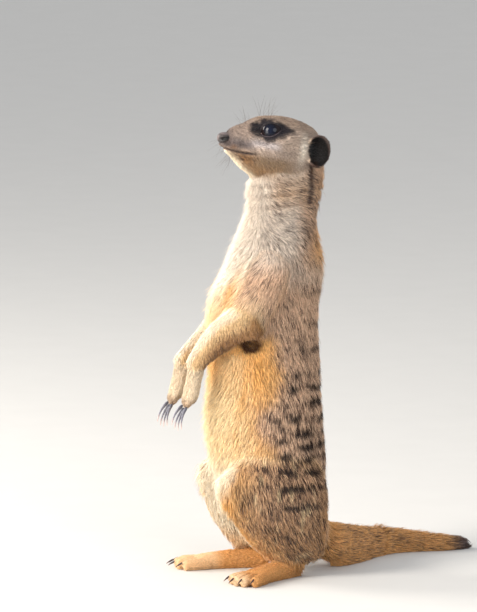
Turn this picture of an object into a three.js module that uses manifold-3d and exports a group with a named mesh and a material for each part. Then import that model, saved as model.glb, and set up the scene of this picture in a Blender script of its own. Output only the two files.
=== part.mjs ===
// A meerkat on guard: upright on its hind feet with its tail laid back along the floor, as a
// life-size still model. Millimetres, +Z up. The animal faces -Y and its left side is +X.
//
// Every piece of flesh is a loft: a sphere's rings carried along a smooth line of stations.
// Neighbours are parted by cutting one of them with the other, grown by a thin gap.
import * as THREE from 'three';
import { mergeVertices } from 'three/addons/utils/BufferGeometryUtils.js';
import Module from 'manifold-3d';

const wasm = await Module();
wasm.setup();

// ---------------------------------------------------------------- driving dimensions
const GAP = 0.3; // clear seam between two neighbouring parts
const SLIVER = 0.1; // facets thinner than this are merged into their neighbours

const HEAD_AT = [0, -6, 285]; // middle of the skull
const HEAD_PITCH = 10; // degrees that the nose is raised
const MUZZLE_REACH = 32; // from the middle of the skull to the tip of the muzzle
const EYE_RADIUS = 5.9;
const EYE_AT = [12, 1.3, 8]; // across, forward and up from the middle of the skull
const EAR_AT = [21.3, -31, 0.4]; // the middle of the ear's bowl, measured the same way
const EAR_SIZE = [8.5, 5.5, 11.3]; // half length along its face, half depth, half height

const NECK_BASE = 224; // height of the seam between neck and chest
const WAIST = 120; // height of the seam between chest and belly

// The joints of each arm and leg. X is measured outward from the animal's middle.
const ARM = {
  left: {
    shoulder: [22, -8, 203], elbow: [29.5, -27.5, 169.5], middle: [25.5, -43.5, 161.5],
    wrist: [18.5, -57, 145], knuckles: [15, -61.6, 119] },
  right: {
    shoulder: [22, -8, 199], elbow: [29.5, -26, 159], middle: [25, -41.5, 148],
    wrist: [18.5, -56.5, 140], knuckles: [15, -63.4, 117] },
};
const LEG = {
  left: {
    hip: [20, 27, 48], knee: [34.5, -37, 60], shin: [32, -21.5, 33], ankle: [22, 3, 12], heel: [17, 12] },
  right: {
    hip: [20, 27, 48], knee: [34, -31, 61], shin: [30.5, -27, 38], ankle: [22, -11, 12], heel: [19.5, 2.5] },
};
const FOOT_LENGTH = 66; // from the heel to the ends of the toes
const FOOT_SPLAY = { left: 36, right: 6 }; // degrees that the toes point outward
const DIGITS = 4; // on each hand and each foot
const HAND_CLAW = { length: 17, radius: 1.5, bend: 52 };
const FOOT_CLAW = { length: 8.5, radius: 1.4, bend: 34 };

// Each line is [x, y, height, radius], from inside the rump to the tip on the right side.
const TAIL_LINES = [
  [0, 14, 27, 13], [-3, 37, 19.5, 13.8], [-22, 56, 14, 12.9], [-41, 74, 11.2, 11],
  [-52, 93, 9.6, 9], [-54, 112, 8, 7.3], [-53, 131, 6, 5.9], [-56, 149.5, 4.6, 4.7],
];
const TAIL_SEAMS = [0.5, 0.78]; // where the tail is parted, as shares of its line

const BACK_FUR = { colour: 0x8f7a62, roughness: 0.9 };
const CHEST_FUR = { colour: 0xd9bf95, roughness: 0.9 };
const LIMB_FUR = { colour: 0xd8bd8e, roughness: 0.9 };
const FACE_FUR = { colour: 0xbfae97, roughness: 0.9 };
const TAIL_FUR = { colour: 0xa58859, roughness: 0.9 };
const EAR_SKIN = { colour: 0x1d1713, roughness: 0.85 };
const NOSE_SKIN = { colour: 0x2b2423, roughness: 0.45 };
const EYEBALL = { colour: 0x0e0b0a, roughness: 0.08 };
const HORN = { colour: 0x4b403a, roughness: 0.4 };

// ---------------------------------------------------------------- making solids
const ACROSS = new THREE.Vector3(1, 0, 0);
const SIDES = { left: 1, right: -1 };
const radians = THREE.MathUtils.degToRad;
const outward = ([x, y, z], side) => [x * side, y, z];
const between = (a, b, t) => a.map((value, axis) => THREE.MathUtils.lerp(value, b[axis], t));

// The signed power that makes a round section squarer.
const squared = (value, power) => Math.sign(value) * Math.abs(value) ** power;

// A closed body whose rings follow a smooth line. Each station is [x, y, z, half width,
// half depth in front, half depth behind]. Width lies across the animal; the front is where
// the line's direction crossed with the animal's left points. The ends are domes as long as
// `domes` times their own radius. `facing` holds every ring square to one direction, and
// `grow` thickens the whole body.
function loft(stations, { sides = 12, rows = 8, square = 2, domes = [1, 1], facing, grow = 0 } = {}) {
  const along = new THREE.CatmullRomCurve3(stations.map(([x, y, z]) => new THREE.Vector3(x, y, z)));
  const girth = new THREE.CatmullRomCurve3(
    stations.map(([, , , width, front, back = front]) => new THREE.Vector3(width, front, back)));
  along.curveType = girth.curveType = 'catmullrom';
  const length = along.getLength();
  const caps = [stations[0], stations.at(-1)].map((s, end) => domes[end] * (s[3] + s[4]) / 2);
  const domed = (distance, cap) => (distance < cap ? Math.sqrt(1 - (1 - distance / cap) ** 2) : 1);

  const geometry = new THREE.SphereGeometry(1, sides, rows);
  const position = geometry.getAttribute('position');
  const ring = new THREE.Vector3();
  for (let i = 0; i < position.count; i++) {
    ring.fromBufferAttribute(position, i);
    const polar = Math.acos(THREE.MathUtils.clamp(ring.y, -1, 1));
    const t = (polar / Math.PI + (1 - ring.y) / 2) / 2; // rings crowd a little at the ends
    const start = domed(t * length, caps[0]);
    const end = domed((1 - t) * length, caps[1]);
    const [width, front, back] = girth.getPoint(t).toArray().map((r) => (r + grow) * start * end);
    const tangent = facing ?? along.getTangent(t);
    const side = ACROSS.clone().addScaledVector(tangent, -ACROSS.dot(tangent)).normalize();
    const forward = tangent.clone().cross(side);
    const round = Math.hypot(ring.x, ring.z);
    const pole = round < 1e-6;
    const x = pole ? 0 : squared(ring.x / round, 2 / square) * width;
    const z = pole ? 0 : squared(ring.z / round, 2 / square) * (ring.z > 0 ? front : back);
    const point = along.getPoint(t).addScaledVector(side, x).addScaledVector(forward, z);
    point.addScaledVector(tangent, grow * (start - end));
    position.setXYZ(i, ...point);
  }
  return geometry;
}

// Moves the vertices near each named place, on both sides of the animal, fading smoothly to
// nothing at the place's reach.
function sculpt(geometry, places) {
  const position = geometry.getAttribute('position');
  const vertex = new THREE.Vector3();
  for (const { at, reach, push } of places) {
    for (const side of Object.values(SIDES)) {
      const centre = new THREE.Vector3(...outward(at, side));
      const move = new THREE.Vector3(...outward(push, side));
      for (let i = 0; i < position.count; i++) {
        vertex.fromBufferAttribute(position, i);
        const near = 1 - vertex.distanceToSquared(centre) / reach ** 2;
        if (near > 0) position.setXYZ(i, ...vertex.addScaledVector(move, near * near));
      }
    }
  }
  return geometry;
}

// A closed geometry, moved by a matrix, as a solid for cutting and joining.
function solid(geometry, matrix = new THREE.Matrix4()) {
  const bare = new THREE.BufferGeometry().setAttribute('position', geometry.getAttribute('position').clone());
  if (geometry.index) bare.setIndex(geometry.index.clone());
  const merged = mergeVertices(bare.applyMatrix4(matrix), 1e-4);
  return new wasm.Manifold(new wasm.Mesh({
    numProp: 3,
    vertProperties: merged.getAttribute('position').array,
    triVerts: new Uint32Array(merged.index.array),
  }));
}

const joined = (solids) => solids.reduce((all, next) => all.add(next));
const without = (body, ...cutters) => cutters.reduce((rest, cutter) => rest.subtract(cutter), body);
// A grown body as a plainer cutter: fewer facets, and still clear of the body it was grown from.
const cutter = (grown) => grown.asOriginal().simplify(1.5 * GAP);
const largest = (body) => body.decompose().reduce((a, b) => (b.volume() > a.volume() ? b : a));

// A solid's largest lump as a named mesh, standing at its own pivot. Slivers that cutting
// leaves on its faces are merged.
function partMesh(name, body, { colour, roughness }, pivot) {
  const clean = largest(largest(body).asOriginal().simplify(SLIVER));
  const { numProp, vertProperties, triVerts } = clean.getMesh();
  const points = new Float32Array((vertProperties.length / numProp) * 3);
  for (let i = 0; i < points.length; i++) {
    points[i] = vertProperties[Math.floor(i / 3) * numProp + (i % 3)] - pivot[i % 3];
  }
  const geometry = new THREE.BufferGeometry();
  geometry.setAttribute('position', new THREE.BufferAttribute(points, 3));
  geometry.setIndex(new THREE.BufferAttribute(new Uint32Array(triVerts), 1));
  geometry.computeVertexNormals();
  const material = new THREE.MeshStandardMaterial({ color: colour, roughness, metalness: 0 });
  const mesh = new THREE.Mesh(geometry, material);
  mesh.name = name;
  mesh.position.set(...pivot);
  return mesh;
}

// A box between two corners.
function block(low, high) {
  const size = high.map((value, axis) => value - low[axis]);
  const place = new THREE.Matrix4().makeTranslation(...between(low, high, 0.5));
  return solid(new THREE.BoxGeometry(...size), place);
}
const FLOOR = block([-300, -300, -60], [300, 300, 0]); // trims soles and tail to one flat level

// An ellipsoid with half sizes [across, along, up], turned about the vertical by `yaw` degrees.
function egg(centre, size, { matrix = new THREE.Matrix4(), yaw = 0, sides = 12, rows = 8 } = {}) {
  const turn = new THREE.Quaternion().setFromAxisAngle(new THREE.Vector3(0, 0, 1), radians(yaw));
  const place = new THREE.Matrix4().compose(new THREE.Vector3(...centre), turn, new THREE.Vector3(...size));
  return solid(new THREE.SphereGeometry(1, sides, rows), matrix.clone().multiply(place));
}

// Carries a piece built along -Y to its place: its tip is dipped, then swung by `yaw` degrees.
function aimed(position, yaw, dip = 0) {
  const turn = new THREE.Quaternion().setFromEuler(new THREE.Euler(radians(dip), 0, radians(yaw), 'ZYX'));
  return new THREE.Matrix4().compose(new THREE.Vector3(...position), turn, new THREE.Vector3(1, 1, 1));
}

// ---------------------------------------------------------------- neck, chest and belly
// Each line is [height, front, back, half width], from inside the skull down to the rump.
const TORSO_LINES = [
  [284, -10, 29, 14], [272, -17, 33.5, 18.5], [259, -20.5, 33.4, 20], [246, -19.6, 30.6, 20.6],
  [234, -21.9, 27.8, 21.5], [219, -28.6, 30, 26], [201, -35.2, 32.2, 29.8], [186, -44.3, 31, 31],
  [168, -46.6, 29, 31], [133, -45, 30.7, 33], [102, -48, 31.8, 36.5], [80, -44.4, 34, 38],
  [60, -39.5, 33.3, 38], [40, -29, 33.8, 34], [21, -10, 33.5, 27], [5, 6, 26, 17],
];
const DOWN = new THREE.Vector3(0, 0, -1);

function torsoSolid(grow = 0) {
  const stations = TORSO_LINES.map(([z, front, back, width]) => {
    const middle = (front + back) / 2;
    return [0, middle, z, width, middle - front, back - middle];
  });
  return solid(loft(stations, {
    sides: 22, rows: 28, square: 2.15, domes: [0.5, 0.35], facing: DOWN, grow }));
}

const torso = torsoSolid();
const torsoRoom = cutter(torsoSolid(3 * GAP));

// The torso between two heights, each end half a gap short of its seam.
const torsoBetween = (low, high) => torso.intersect(
  block([-100, -100, low + GAP / 2], [100, 100, high - GAP / 2]));

function torsoParts() {
  const neck = without(torsoBetween(NECK_BASE, 400), cutter(skullSolid(4 * GAP)));
  const belly = without(torsoBetween(-10, WAIST), FLOOR);
  return [
    partMesh('neck', neck, CHEST_FUR, [0, 3, NECK_BASE]),
    partMesh('chest', torsoBetween(WAIST, NECK_BASE), BACK_FUR, [0, -6, WAIST]),
    partMesh('belly', belly, CHEST_FUR, [0, -4, 40]),
  ];
}

// ---------------------------------------------------------------- head
// The head is built level in its own frame, then raised by its pitch.
const headMatrix = new THREE.Matrix4().makeRotationX(radians(-HEAD_PITCH)).setPosition(...HEAD_AT);
const onHead = (forward, up, across = 0) => [across, -forward, up];

// Each line is [forward, top, level of the widest point, bottom, half width].
const SKULL_LINES = [
  [MUZZLE_REACH, -3.6, -6, -8.2, 3.8], [29.6, 0.8, -5.4, -9.8, 5.6], [26, 4.4, -5, -12.4, 7.2],
  [21, 7.6, -4.6, -17.2, 8.6], [15, 10.4, -4, -22.4, 11.2], [9, 14.2, -3, -24.6, 15.6],
  [0, 17.3, -2, -25, 20.4], [-10, 18, -1, -25, 22.6], [-20, 16.2, -1, -24, 22.8],
  [-29, 12, -3, -21, 20.5], [-37.5, 4, -6, -16, 14],
];
const SKULL_FORMS = [
  { at: onHead(7, 14.5, 11.5), reach: 9, push: onHead(1, 1.6, 1) }, // brow over each eye
  { at: onHead(7, 7.5, 15), reach: 9, push: onHead(-1.6, 0, -2.2) }, // socket, facing half forward
  { at: onHead(-2, -4, 21), reach: 11, push: onHead(0, 0, 1.2) }, // cheekbone
  { at: onHead(25, -6, 9), reach: 8, push: onHead(0.5, 0, 1.3) }, // whisker pad
  { at: onHead(21, -15, 9), reach: 8, push: onHead(0, 0.5, -2) }, // jaw, slimmer than the muzzle
];

function skullSolid(grow = 0) {
  const stations = SKULL_LINES.map(([forward, top, middle, bottom, width]) => [
    ...onHead(forward, middle), width, middle - bottom, top - middle]);
  const skull = loft(stations, { sides: 22, rows: 22, domes: [0.9, 0.9], grow });
  return solid(sculpt(skull, SKULL_FORMS), headMatrix);
}

function eyeSolid(side, grow = 0) {
  const [across, forward, up] = EYE_AT;
  const radius = EYE_RADIUS + grow;
  return egg(onHead(forward, up, side * across), [radius, radius, radius], { matrix: headMatrix });
}

const noseSolid = (grow = 0) => egg(
  onHead(MUZZLE_REACH - 3.4, -2), [5.2 + grow, 5 + grow, 4.1 + grow], { matrix: headMatrix });

// The mouth's line from under the nose to its corner, then down behind the lower jaw.
const MOUTH_LINE = [[40, -8.2], [31, -8.5], [24, -9.9], [16, -9.9], [9, -8.4], [2, -8]];
const JAW_BACK = [[-1, -14], [-3, -40], [40, -40]];

function jawRegion(grow = 0) {
  const moved = (line, back, raise) => line.map(
    ([forward, up]) => new THREE.Vector2(back - forward, up + raise));
  const lip = new THREE.SplineCurve(moved(MOUTH_LINE, 0, grow)).getPoints(9);
  const outline = new THREE.Shape([...lip, ...moved(JAW_BACK, grow, 0)]);
  const slab = new THREE.ExtrudeGeometry(outline, { depth: 80, bevelEnabled: false });
  // The shape is drawn on the head's side view, then stood across the head.
  const [x, y, z] = [[0, 1, 0], [0, 0, 1], [1, 0, 0]].map((axis) => new THREE.Vector3(...axis));
  const across = new THREE.Matrix4().makeBasis(x, y, z).setPosition(-40, 0, 0);
  return solid(slab.applyMatrix4(across), headMatrix);
}

// A thin bowl that opens outward and forward, set low on the side of the head.
const EAR = { openness: 34, wall: 2.3, lift: 3.2 };

function earSolid(side) {
  const yaw = side * (90 - EAR.openness);
  const centre = onHead(EAR_AT[1], EAR_AT[2], side * EAR_AT[0]);
  const out = new THREE.Vector3(0, -EAR.lift, 0).applyAxisAngle(new THREE.Vector3(0, 0, 1), radians(yaw));
  const [long, deep, high] = EAR_SIZE;
  const bowl = egg(centre, [long, deep, high], { matrix: headMatrix, yaw, sides: 14, rows: 8 });
  const hollow = [long - EAR.wall, deep - EAR.wall + EAR.lift, high - EAR.wall];
  const mouth = out.add(new THREE.Vector3(...centre)).toArray();
  return without(bowl, egg(mouth, hollow, { matrix: headMatrix, yaw, sides: 10, rows: 7 }));
}

function headParts() {
  const skull = without(skullSolid(), noseSolid(GAP), eyeSolid(1, GAP), eyeSolid(-1, GAP));
  const skullRoom = cutter(skullSolid(3 * GAP));
  const parts = [
    partMesh('head', without(skull, jawRegion(GAP)), FACE_FUR, HEAD_AT),
    partMesh('lower_jaw', skull.intersect(jawRegion()), FACE_FUR, HEAD_AT),
    partMesh('nose', noseSolid(), NOSE_SKIN, HEAD_AT),
  ];
  for (const [name, side] of Object.entries(SIDES)) {
    parts.push(partMesh(`eye_${name}`, eyeSolid(side), EYEBALL, HEAD_AT));
    parts.push(partMesh(`ear_${name}`, without(earSolid(side), skullRoom), EAR_SKIN, HEAD_AT));
  }
  return parts;
}

// ---------------------------------------------------------------- digits and claws
// A curved claw that leaves along -Y and bends towards -Z.
function clawGeometry({ length, radius, bend }) {
  const stations = [0, 0.35, 0.7, 1].map((t) => {
    const turn = radians(bend) * t / 2;
    const thin = radius * (1 - 0.8 * t);
    return [0, -length * t * Math.cos(turn), -length * t * Math.sin(turn), thin * 0.8, thin * 1.15];
  });
  return loft(stations, { sides: 6, rows: 6, domes: [0.6, 0.8] });
}

// The places of one hand's or foot's digits, from -1 on one edge to 1 on the other.
const digitPlaces = Array.from({ length: DIGITS }, (_, index) => (2 * index) / (DIGITS - 1) - 1);

// ---------------------------------------------------------------- arms
function upperArm(name, grow = 0) {
  const { shoulder, elbow } = ARM[name];
  return solid(loft([
    [...between(shoulder, elbow, -0.35), 9, 13, 15], [...shoulder, 12.5, 15.5, 18],
    [...between(shoulder, elbow, 0.55), 11.5, 13.5, 16], [...between(shoulder, elbow, 1.15), 9, 11, 11],
  ].map(([x, ...rest]) => [x * SIDES[name], ...rest]), { sides: 14, rows: 8, grow }));
}

function forearm(name, grow = 0) {
  const { elbow, middle, wrist } = ARM[name];
  return solid(loft([
    [...between(elbow, middle, -0.6), 10.5, 12.5], [...elbow, 11, 13.8], [...middle, 9, 11],
    [...wrist, 6.8, 7.2], [...between(middle, wrist, 1.35), 6, 6.2],
  ].map(([x, ...rest]) => [x * SIDES[name], ...rest]), { sides: 12, rows: 8, domes: [0.9, 0.8], grow }));
}

const HAND = { length: 9, spread: 5, fan: 8, dip: 72 }; // the digits past the knuckles

function handDigits(name) {
  const [x, y, z] = outward(ARM[name].knuckles, SIDES[name]);
  return digitPlaces.map((place) => ({
    start: [x + HAND.spread * place, y, z + 2 + 1.6 * place * place], yaw: HAND.fan * place }));
}

function handSolid(name, grow = 0) {
  const { wrist, knuckles } = ARM[name];
  const palm = solid(loft([
    [...between(wrist, knuckles, -0.08), 6, 5.8], [...between(wrist, knuckles, 0.4), 6.3, 5.2],
    [...between(wrist, knuckles, 0.8), 7.6, 5.2], [...between(wrist, knuckles, 1.12), 7, 4.4],
  ].map(([px, ...rest]) => [px * SIDES[name], ...rest]), { sides: 10, rows: 7, domes: [0.8, 0.8], grow }));
  const digit = loft([
    [0, 3, 0, 2.5, 2.9], [0, -HAND.length * 0.5, 0.3, 2.5, 2.9], [0, -HAND.length, 0, 2.1, 2.4],
  ], { sides: 6, rows: 4, domes: [0.8, 0.9], grow });
  const digits = handDigits(name).map(({ start, yaw }) => solid(digit, aimed(start, yaw, HAND.dip)));
  return joined([palm, ...digits]);
}

function armParts(name) {
  const pivot = (joint) => outward(ARM[name][joint], SIDES[name]);
  const upper = without(upperArm(name), torsoRoom);
  const lower = without(forearm(name), torsoRoom, upperArm(name, GAP));
  const hand = without(handSolid(name), forearm(name, GAP));
  const parts = [
    partMesh(`upper_arm_${name}`, upper, LIMB_FUR, pivot('shoulder')),
    partMesh(`forearm_${name}`, lower, LIMB_FUR, pivot('elbow')),
    partMesh(`hand_${name}`, hand, LIMB_FUR, pivot('wrist')),
  ];
  const handRoom = handSolid(name, GAP);
  handDigits(name).forEach(({ start, yaw }, index) => {
    const digit = aimed(start, yaw, HAND.dip);
    const root = new THREE.Vector3(0, 1 - HAND.length, 0.4).applyMatrix4(digit).toArray();
    const claw = solid(clawGeometry(HAND_CLAW), aimed(root, yaw, HAND.dip - 30));
    parts.push(partMesh(`hand_claw_${name}_${index + 1}`, without(claw, handRoom), HORN, root));
  });
  return parts;
}

// ---------------------------------------------------------------- legs
function haunch(name, grow = 0) {
  const { knee } = LEG[name];
  const [x, y, z] = knee;
  return solid(loft([
    [19, 30.5, 46, 14, 26, 34], [25, 20, 49, 18, 34, 41], [29, 3, 52, 18.5, 35, 40],
    [x - 1.5, y + 17, z - 3, 16, 25, 25], [x, y + 2, z, 12.5, 16, 17], [x + 0.5, y - 12, z - 1, 9, 10, 11],
  ].map(([px, ...rest]) => [px * SIDES[name], ...rest]), {
    sides: 15, rows: 12, domes: [0.4, 0.9], facing: new THREE.Vector3(0, -1, 0), grow }));
}

function shank(name, grow = 0) {
  const { knee, shin, ankle } = LEG[name];
  return solid(loft([
    [...between(knee, shin, -0.1), 9, 9.5], [...between(knee, shin, 0.35), 10.5, 11],
    [...shin, 9.5, 10.5], [...ankle, 7.5, 8],
  ].map(([px, ...rest]) => [px * SIDES[name], ...rest]), { sides: 12, rows: 8, domes: [0.8, 0.8], grow }));
}

const TOE = { length: 19, spread: 6.8, fan: 11, radius: 3.9 }; // the toes past the ball of the foot
const BALL = FOOT_LENGTH - TOE.length; // from the heel forward to the toes' roots

const footMatrix = (name) => {
  const [x, y] = LEG[name].heel;
  return aimed([x * SIDES[name], y, 0], SIDES[name] * FOOT_SPLAY[name]);
};

const toes = digitPlaces.map((place) => ({
  start: [TOE.spread * place, -BALL + 4 * place * place, TOE.radius], yaw: TOE.fan * place }));

function footSolid(name, grow = 0) {
  const sole = loft([
    [0, 0, 6, 5.8, 5.8, 6.4], [0, -9, 6.2, 7, 7.4], [0, -BALL * 0.55, 5.6, 7.6, 6.6],
    [0, -BALL + 4, 4.8, 9.6, 5.6], [0, -BALL - 5, 4, 9.4, 4.6],
  ], { sides: 11, rows: 8, domes: [0.9, 0.8], grow });
  const digits = toes.map(({ start, yaw }) => solid(loft([
    [0, 5, 0.4, 3.2, 3.8], [0, -TOE.length * 0.5, 0.6, TOE.radius * 0.94, TOE.radius],
    [0, -TOE.length, -0.5, TOE.radius * 0.8, TOE.radius * 0.85],
  ], { sides: 7, rows: 5, domes: [0.8, 1], grow }), aimed(start, yaw)));
  return joined([solid(sole), ...digits]).transform(footMatrix(name).toArray());
}

function legParts(name) {
  const pivot = (joint) => outward(LEG[name][joint], SIDES[name]);
  const thighRoom = haunch(name, GAP);
  const thigh = without(haunch(name), torsoRoom, FLOOR);
  const lower = without(shank(name), torsoRoom, thighRoom, FLOOR);
  const foot = without(footSolid(name), torsoRoom, thighRoom, shank(name, GAP), FLOOR);
  const parts = [
    partMesh(`thigh_${name}`, thigh, BACK_FUR, pivot('hip')),
    partMesh(`shank_${name}`, lower, LIMB_FUR, pivot('knee')),
    partMesh(`foot_${name}`, foot, LIMB_FUR, pivot('ankle')),
  ];
  const footRoom = footSolid(name, GAP);
  toes.forEach(({ start, yaw }, index) => {
    const toe = footMatrix(name).multiply(aimed(start, yaw));
    const root = new THREE.Vector3(0, 2.6 - TOE.length, 1.6);
    const claw = solid(clawGeometry(FOOT_CLAW), toe.clone().multiply(aimed(root.toArray(), 0, 8)));
    const pivotAt = root.applyMatrix4(toe).toArray();
    parts.push(partMesh(`foot_claw_${name}_${index + 1}`, without(claw, footRoom, FLOOR), HORN, pivotAt));
  });
  return parts;
}

// ---------------------------------------------------------------- tail
const TRIM = 1; // how much of the tail's underside is pressed flat on the floor

function tailParts() {
  const stations = TAIL_LINES.map(([x, y, z, radius]) => [x, y, z - TRIM, radius, radius]);
  const whole = without(solid(loft(stations, { sides: 12, rows: 22, domes: [0.5, 1.3] })),
    torsoRoom, haunch('left', GAP), haunch('right', GAP), FLOOR);
  const line = new THREE.CatmullRomCurve3(TAIL_LINES.map(([x, y, z]) => new THREE.Vector3(x, y, z)));
  const slabs = TAIL_SEAMS.map((t) => {
    const turn = new THREE.Quaternion().setFromUnitVectors(new THREE.Vector3(0, 1, 0), line.getTangent(t));
    const place = new THREE.Matrix4().compose(line.getPoint(t), turn, new THREE.Vector3(1, 1, 1));
    return solid(new THREE.BoxGeometry(60, GAP, 60), place);
  });
  const nearness = (body) => body.boundingBox().max[1];
  const lengths = without(largest(whole), ...slabs).decompose().sort((a, b) => nearness(a) - nearness(b));
  return lengths.map((body, index) => {
    const pivot = line.getPoint([0, ...TAIL_SEAMS][index]).toArray();
    return partMesh(`tail_${index + 1}`, body, TAIL_FUR, pivot);
  });
}

// ---------------------------------------------------------------- the whole animal
function region(name, parts) {
  const group = new THREE.Group();
  group.name = name;
  return group.add(...parts);
}

const meerkat = region('meerkat', [
  region('head_region', headParts()),
  region('torso_region', torsoParts()),
  region('tail_region', tailParts()),
  ...Object.keys(SIDES).flatMap((name) => [
    region(`arm_region_${name}`, armParts(name)), region(`leg_region_${name}`, legParts(name))]),
]);

// The part's origin is on the floor under the middle of its bounding box.
const part = new THREE.Group();
part.add(meerkat);
const box = new THREE.Box3().setFromObject(part);
meerkat.position.set(-(box.min.x + box.max.x) / 2, -(box.min.y + box.max.y) / 2, 0);

export default part;
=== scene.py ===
"""A life-size meerkat standing guard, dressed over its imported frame.

One skin replaces every node of flesh, and solid tapered tufts of hair grow from it. The eyes, nose
and claws stay separate pieces. Shapes are worked out in millimetres in the frame's own axes, and
turned into metres where a mesh is made. A field is one value, or one row, for each skin vertex.
"""

import math
from functools import cache

import bmesh
import bpy
import numpy as np
from mathutils import Matrix, Vector
from mathutils.bvhtree import BVHTree
from mathutils.kdtree import KDTree


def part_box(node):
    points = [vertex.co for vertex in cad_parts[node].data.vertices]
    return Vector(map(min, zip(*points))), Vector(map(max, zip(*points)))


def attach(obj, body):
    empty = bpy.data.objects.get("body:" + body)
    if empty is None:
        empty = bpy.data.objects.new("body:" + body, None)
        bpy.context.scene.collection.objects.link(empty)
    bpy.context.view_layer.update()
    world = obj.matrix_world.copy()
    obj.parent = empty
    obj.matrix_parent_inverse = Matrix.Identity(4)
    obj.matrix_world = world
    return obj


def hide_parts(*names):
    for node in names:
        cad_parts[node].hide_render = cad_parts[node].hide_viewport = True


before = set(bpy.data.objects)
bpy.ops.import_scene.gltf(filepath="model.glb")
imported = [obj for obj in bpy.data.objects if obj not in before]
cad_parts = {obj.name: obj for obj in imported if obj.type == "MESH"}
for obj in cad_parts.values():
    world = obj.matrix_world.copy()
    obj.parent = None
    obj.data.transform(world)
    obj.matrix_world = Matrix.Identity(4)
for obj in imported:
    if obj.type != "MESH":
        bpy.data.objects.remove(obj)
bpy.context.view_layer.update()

MM = 0.001
SEED = 11
PIECES_APART = ("eye_", "nose", "hand_claw", "foot_claw")
FLESH = sorted(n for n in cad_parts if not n.startswith(PIECES_APART))
CLOSED_OVER = ("eye_left", "eye_right", "nose")  # the skin runs on over these nodes too
SIDES = {"left": 1, "right": -1}  # each side's sign along X
HEAD = ("head", "lower_jaw")
TRUNK = ("neck", "chest", "belly")

VOXEL = 0.7  # mesh size of the skin before it is thinned out
SEAM = 0.28  # every node grows by this, so that the gaps between nodes close
SOLE = 1.2  # the skin is flat on the ground below this height
SMOOTH_ROUNDS = 55  # rounds of smoothing over the whole skin
BLEND = 12  # rounds that run one part's smoothing and growth into the next part's
DEPTH_BLEND = 30  # rounds that run one part's depth or length of coat into the next part's
SKIN_SHARE = 0.34  # triangles kept when the skin is thinned out
KEEP_LEVELS = 10  # steps from the places that are thinned out most to those that keep most
EAR_SHIFT = (2.2, -2.0, 0.0)  # how much further out and forward each ear sits than its node
EAR_TURN = 34  # degrees that the ears' bowls face forward from straight outward
EAR_BOWL = (6.6, 9.4, 5.2)  # half length and half height of a bowl's mouth, and its depth
EAR_MOUTH = 2.0  # how far out from the middle of the ear the bowl's mouth lies
BALL_RADIUS = 8.0  # of the eyeball, which is mostly hidden
EYE_DEPTH = 1.7  # how far the front of the eyeball lies inside the front of its node
LID_HALF_LENGTH = 7.1  # of the opening between the lids
LID_TOP, LID_BOTTOM = 4.4, 3.9  # how far the opening reaches over and under the eye's middle
LID_POINT = 0.45  # how pointed the corners of the opening are
LID_DEPTH = 0.3  # how thick the lids are

# Every part of the coat: how deep it lies, a hair tuft's length and width, tufts to a square
# millimetre, and how far a tuft rises from the skin at its root, in degrees.
DEPTH, LENGTH, WIDTH, DENSITY, RISE = range(5)
COAT = {
    "head": (0.9, 3.6, 0.28, 2.6, 20),
    "lower_jaw": (1.0, 4.0, 0.28, 2.6, 24),
    "ear": (0.3, 2.6, 0.26, 2.2, 20),
    "neck": (2.2, 6.2, 0.32, 2.2, 24),
    "chest": (2.8, 7.5, 0.40, 1.45, 24),
    "belly": (2.8, 8.0, 0.42, 1.35, 24),
    "upper_arm": (1.8, 6.5, 0.36, 1.7, 22),
    "forearm": (1.2, 5.0, 0.32, 2.2, 26),
    "hand": (0.4, 2.6, 0.26, 3.0, 18),
    "thigh": (2.6, 8.0, 0.42, 1.35, 24),
    "shank": (1.5, 6.0, 0.38, 1.4, 22),
    "foot": (0.4, 2.6, 0.27, 2.2, 16),
    "tail_1": (2.2, 8.0, 0.42, 1.35, 24),
    "tail_2": (1.8, 7.5, 0.38, 1.50, 24),
    "tail_3": (1.5, 7.0, 0.34, 1.80, 24),
}
# How far a node is grown before the nodes are joined and shrunk back after, to fill its creases.
CLOSING = {"chest": 1.6, "belly": 2.6, "thigh": 2.6, "tail_1": 2.2, "neck": 1.0, "upper_arm": 0.6}
# How much of the smoothing a part gets, where that isn't all of it.
SMOOTHING = {"head": 0.3, "lower_jaw": 0.25, "ear": 0.12, "hand": 0.1, "foot": 0.12, "forearm": 0.7,
             "shank": 0.8, "upper_arm": 0.9, "tail_2": 0.8, "tail_3": 0.7}
# Limbs, what they run into, and how many rounds of smoothing their join gets.
JOINS = (("thigh", ("belly", "chest"), 160), ("shank", ("thigh",), 120),
         ("upper_arm", ("chest", "neck"), 14), ("tail_1", ("thigh", "belly"), 20))

MAX_PIECE_TRIANGLES = 190_000
RINGS = 2  # rings of corners in a tuft, under its tip
WHISKER_RINGS = 6
PATCH = 0.003  # size on the bake map of one tuft
ROOT_SINK = 0.35  # how far a tuft's root lies under the skin
GROUND_GAP = 0.15  # the least height of hair over the ground
FRINGE_DEPTH = 1.6  # how much deeper the coat is down the animal's front, where it stands out
FRINGE_RISE = 22  # degrees more that hair rises there
GUARD_SHARE = 0.05  # how many of the tufts are guard hairs
GUARD_LENGTH, GUARD_WIDTH = 1.3, 0.8  # a guard hair's size against the others
GUARD_RISE = 8  # degrees more that it rises
SWIRL = 9  # degrees that hair turns off its lie in patches, and from tuft to tuft
CLUMP = 9  # tufts that lean together
CLUMP_PULL = 0.55  # how far they do
COLOUR_AT = (0.45, 0.8)  # how far along a tuft its own colour and its tip's are looked up

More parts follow.
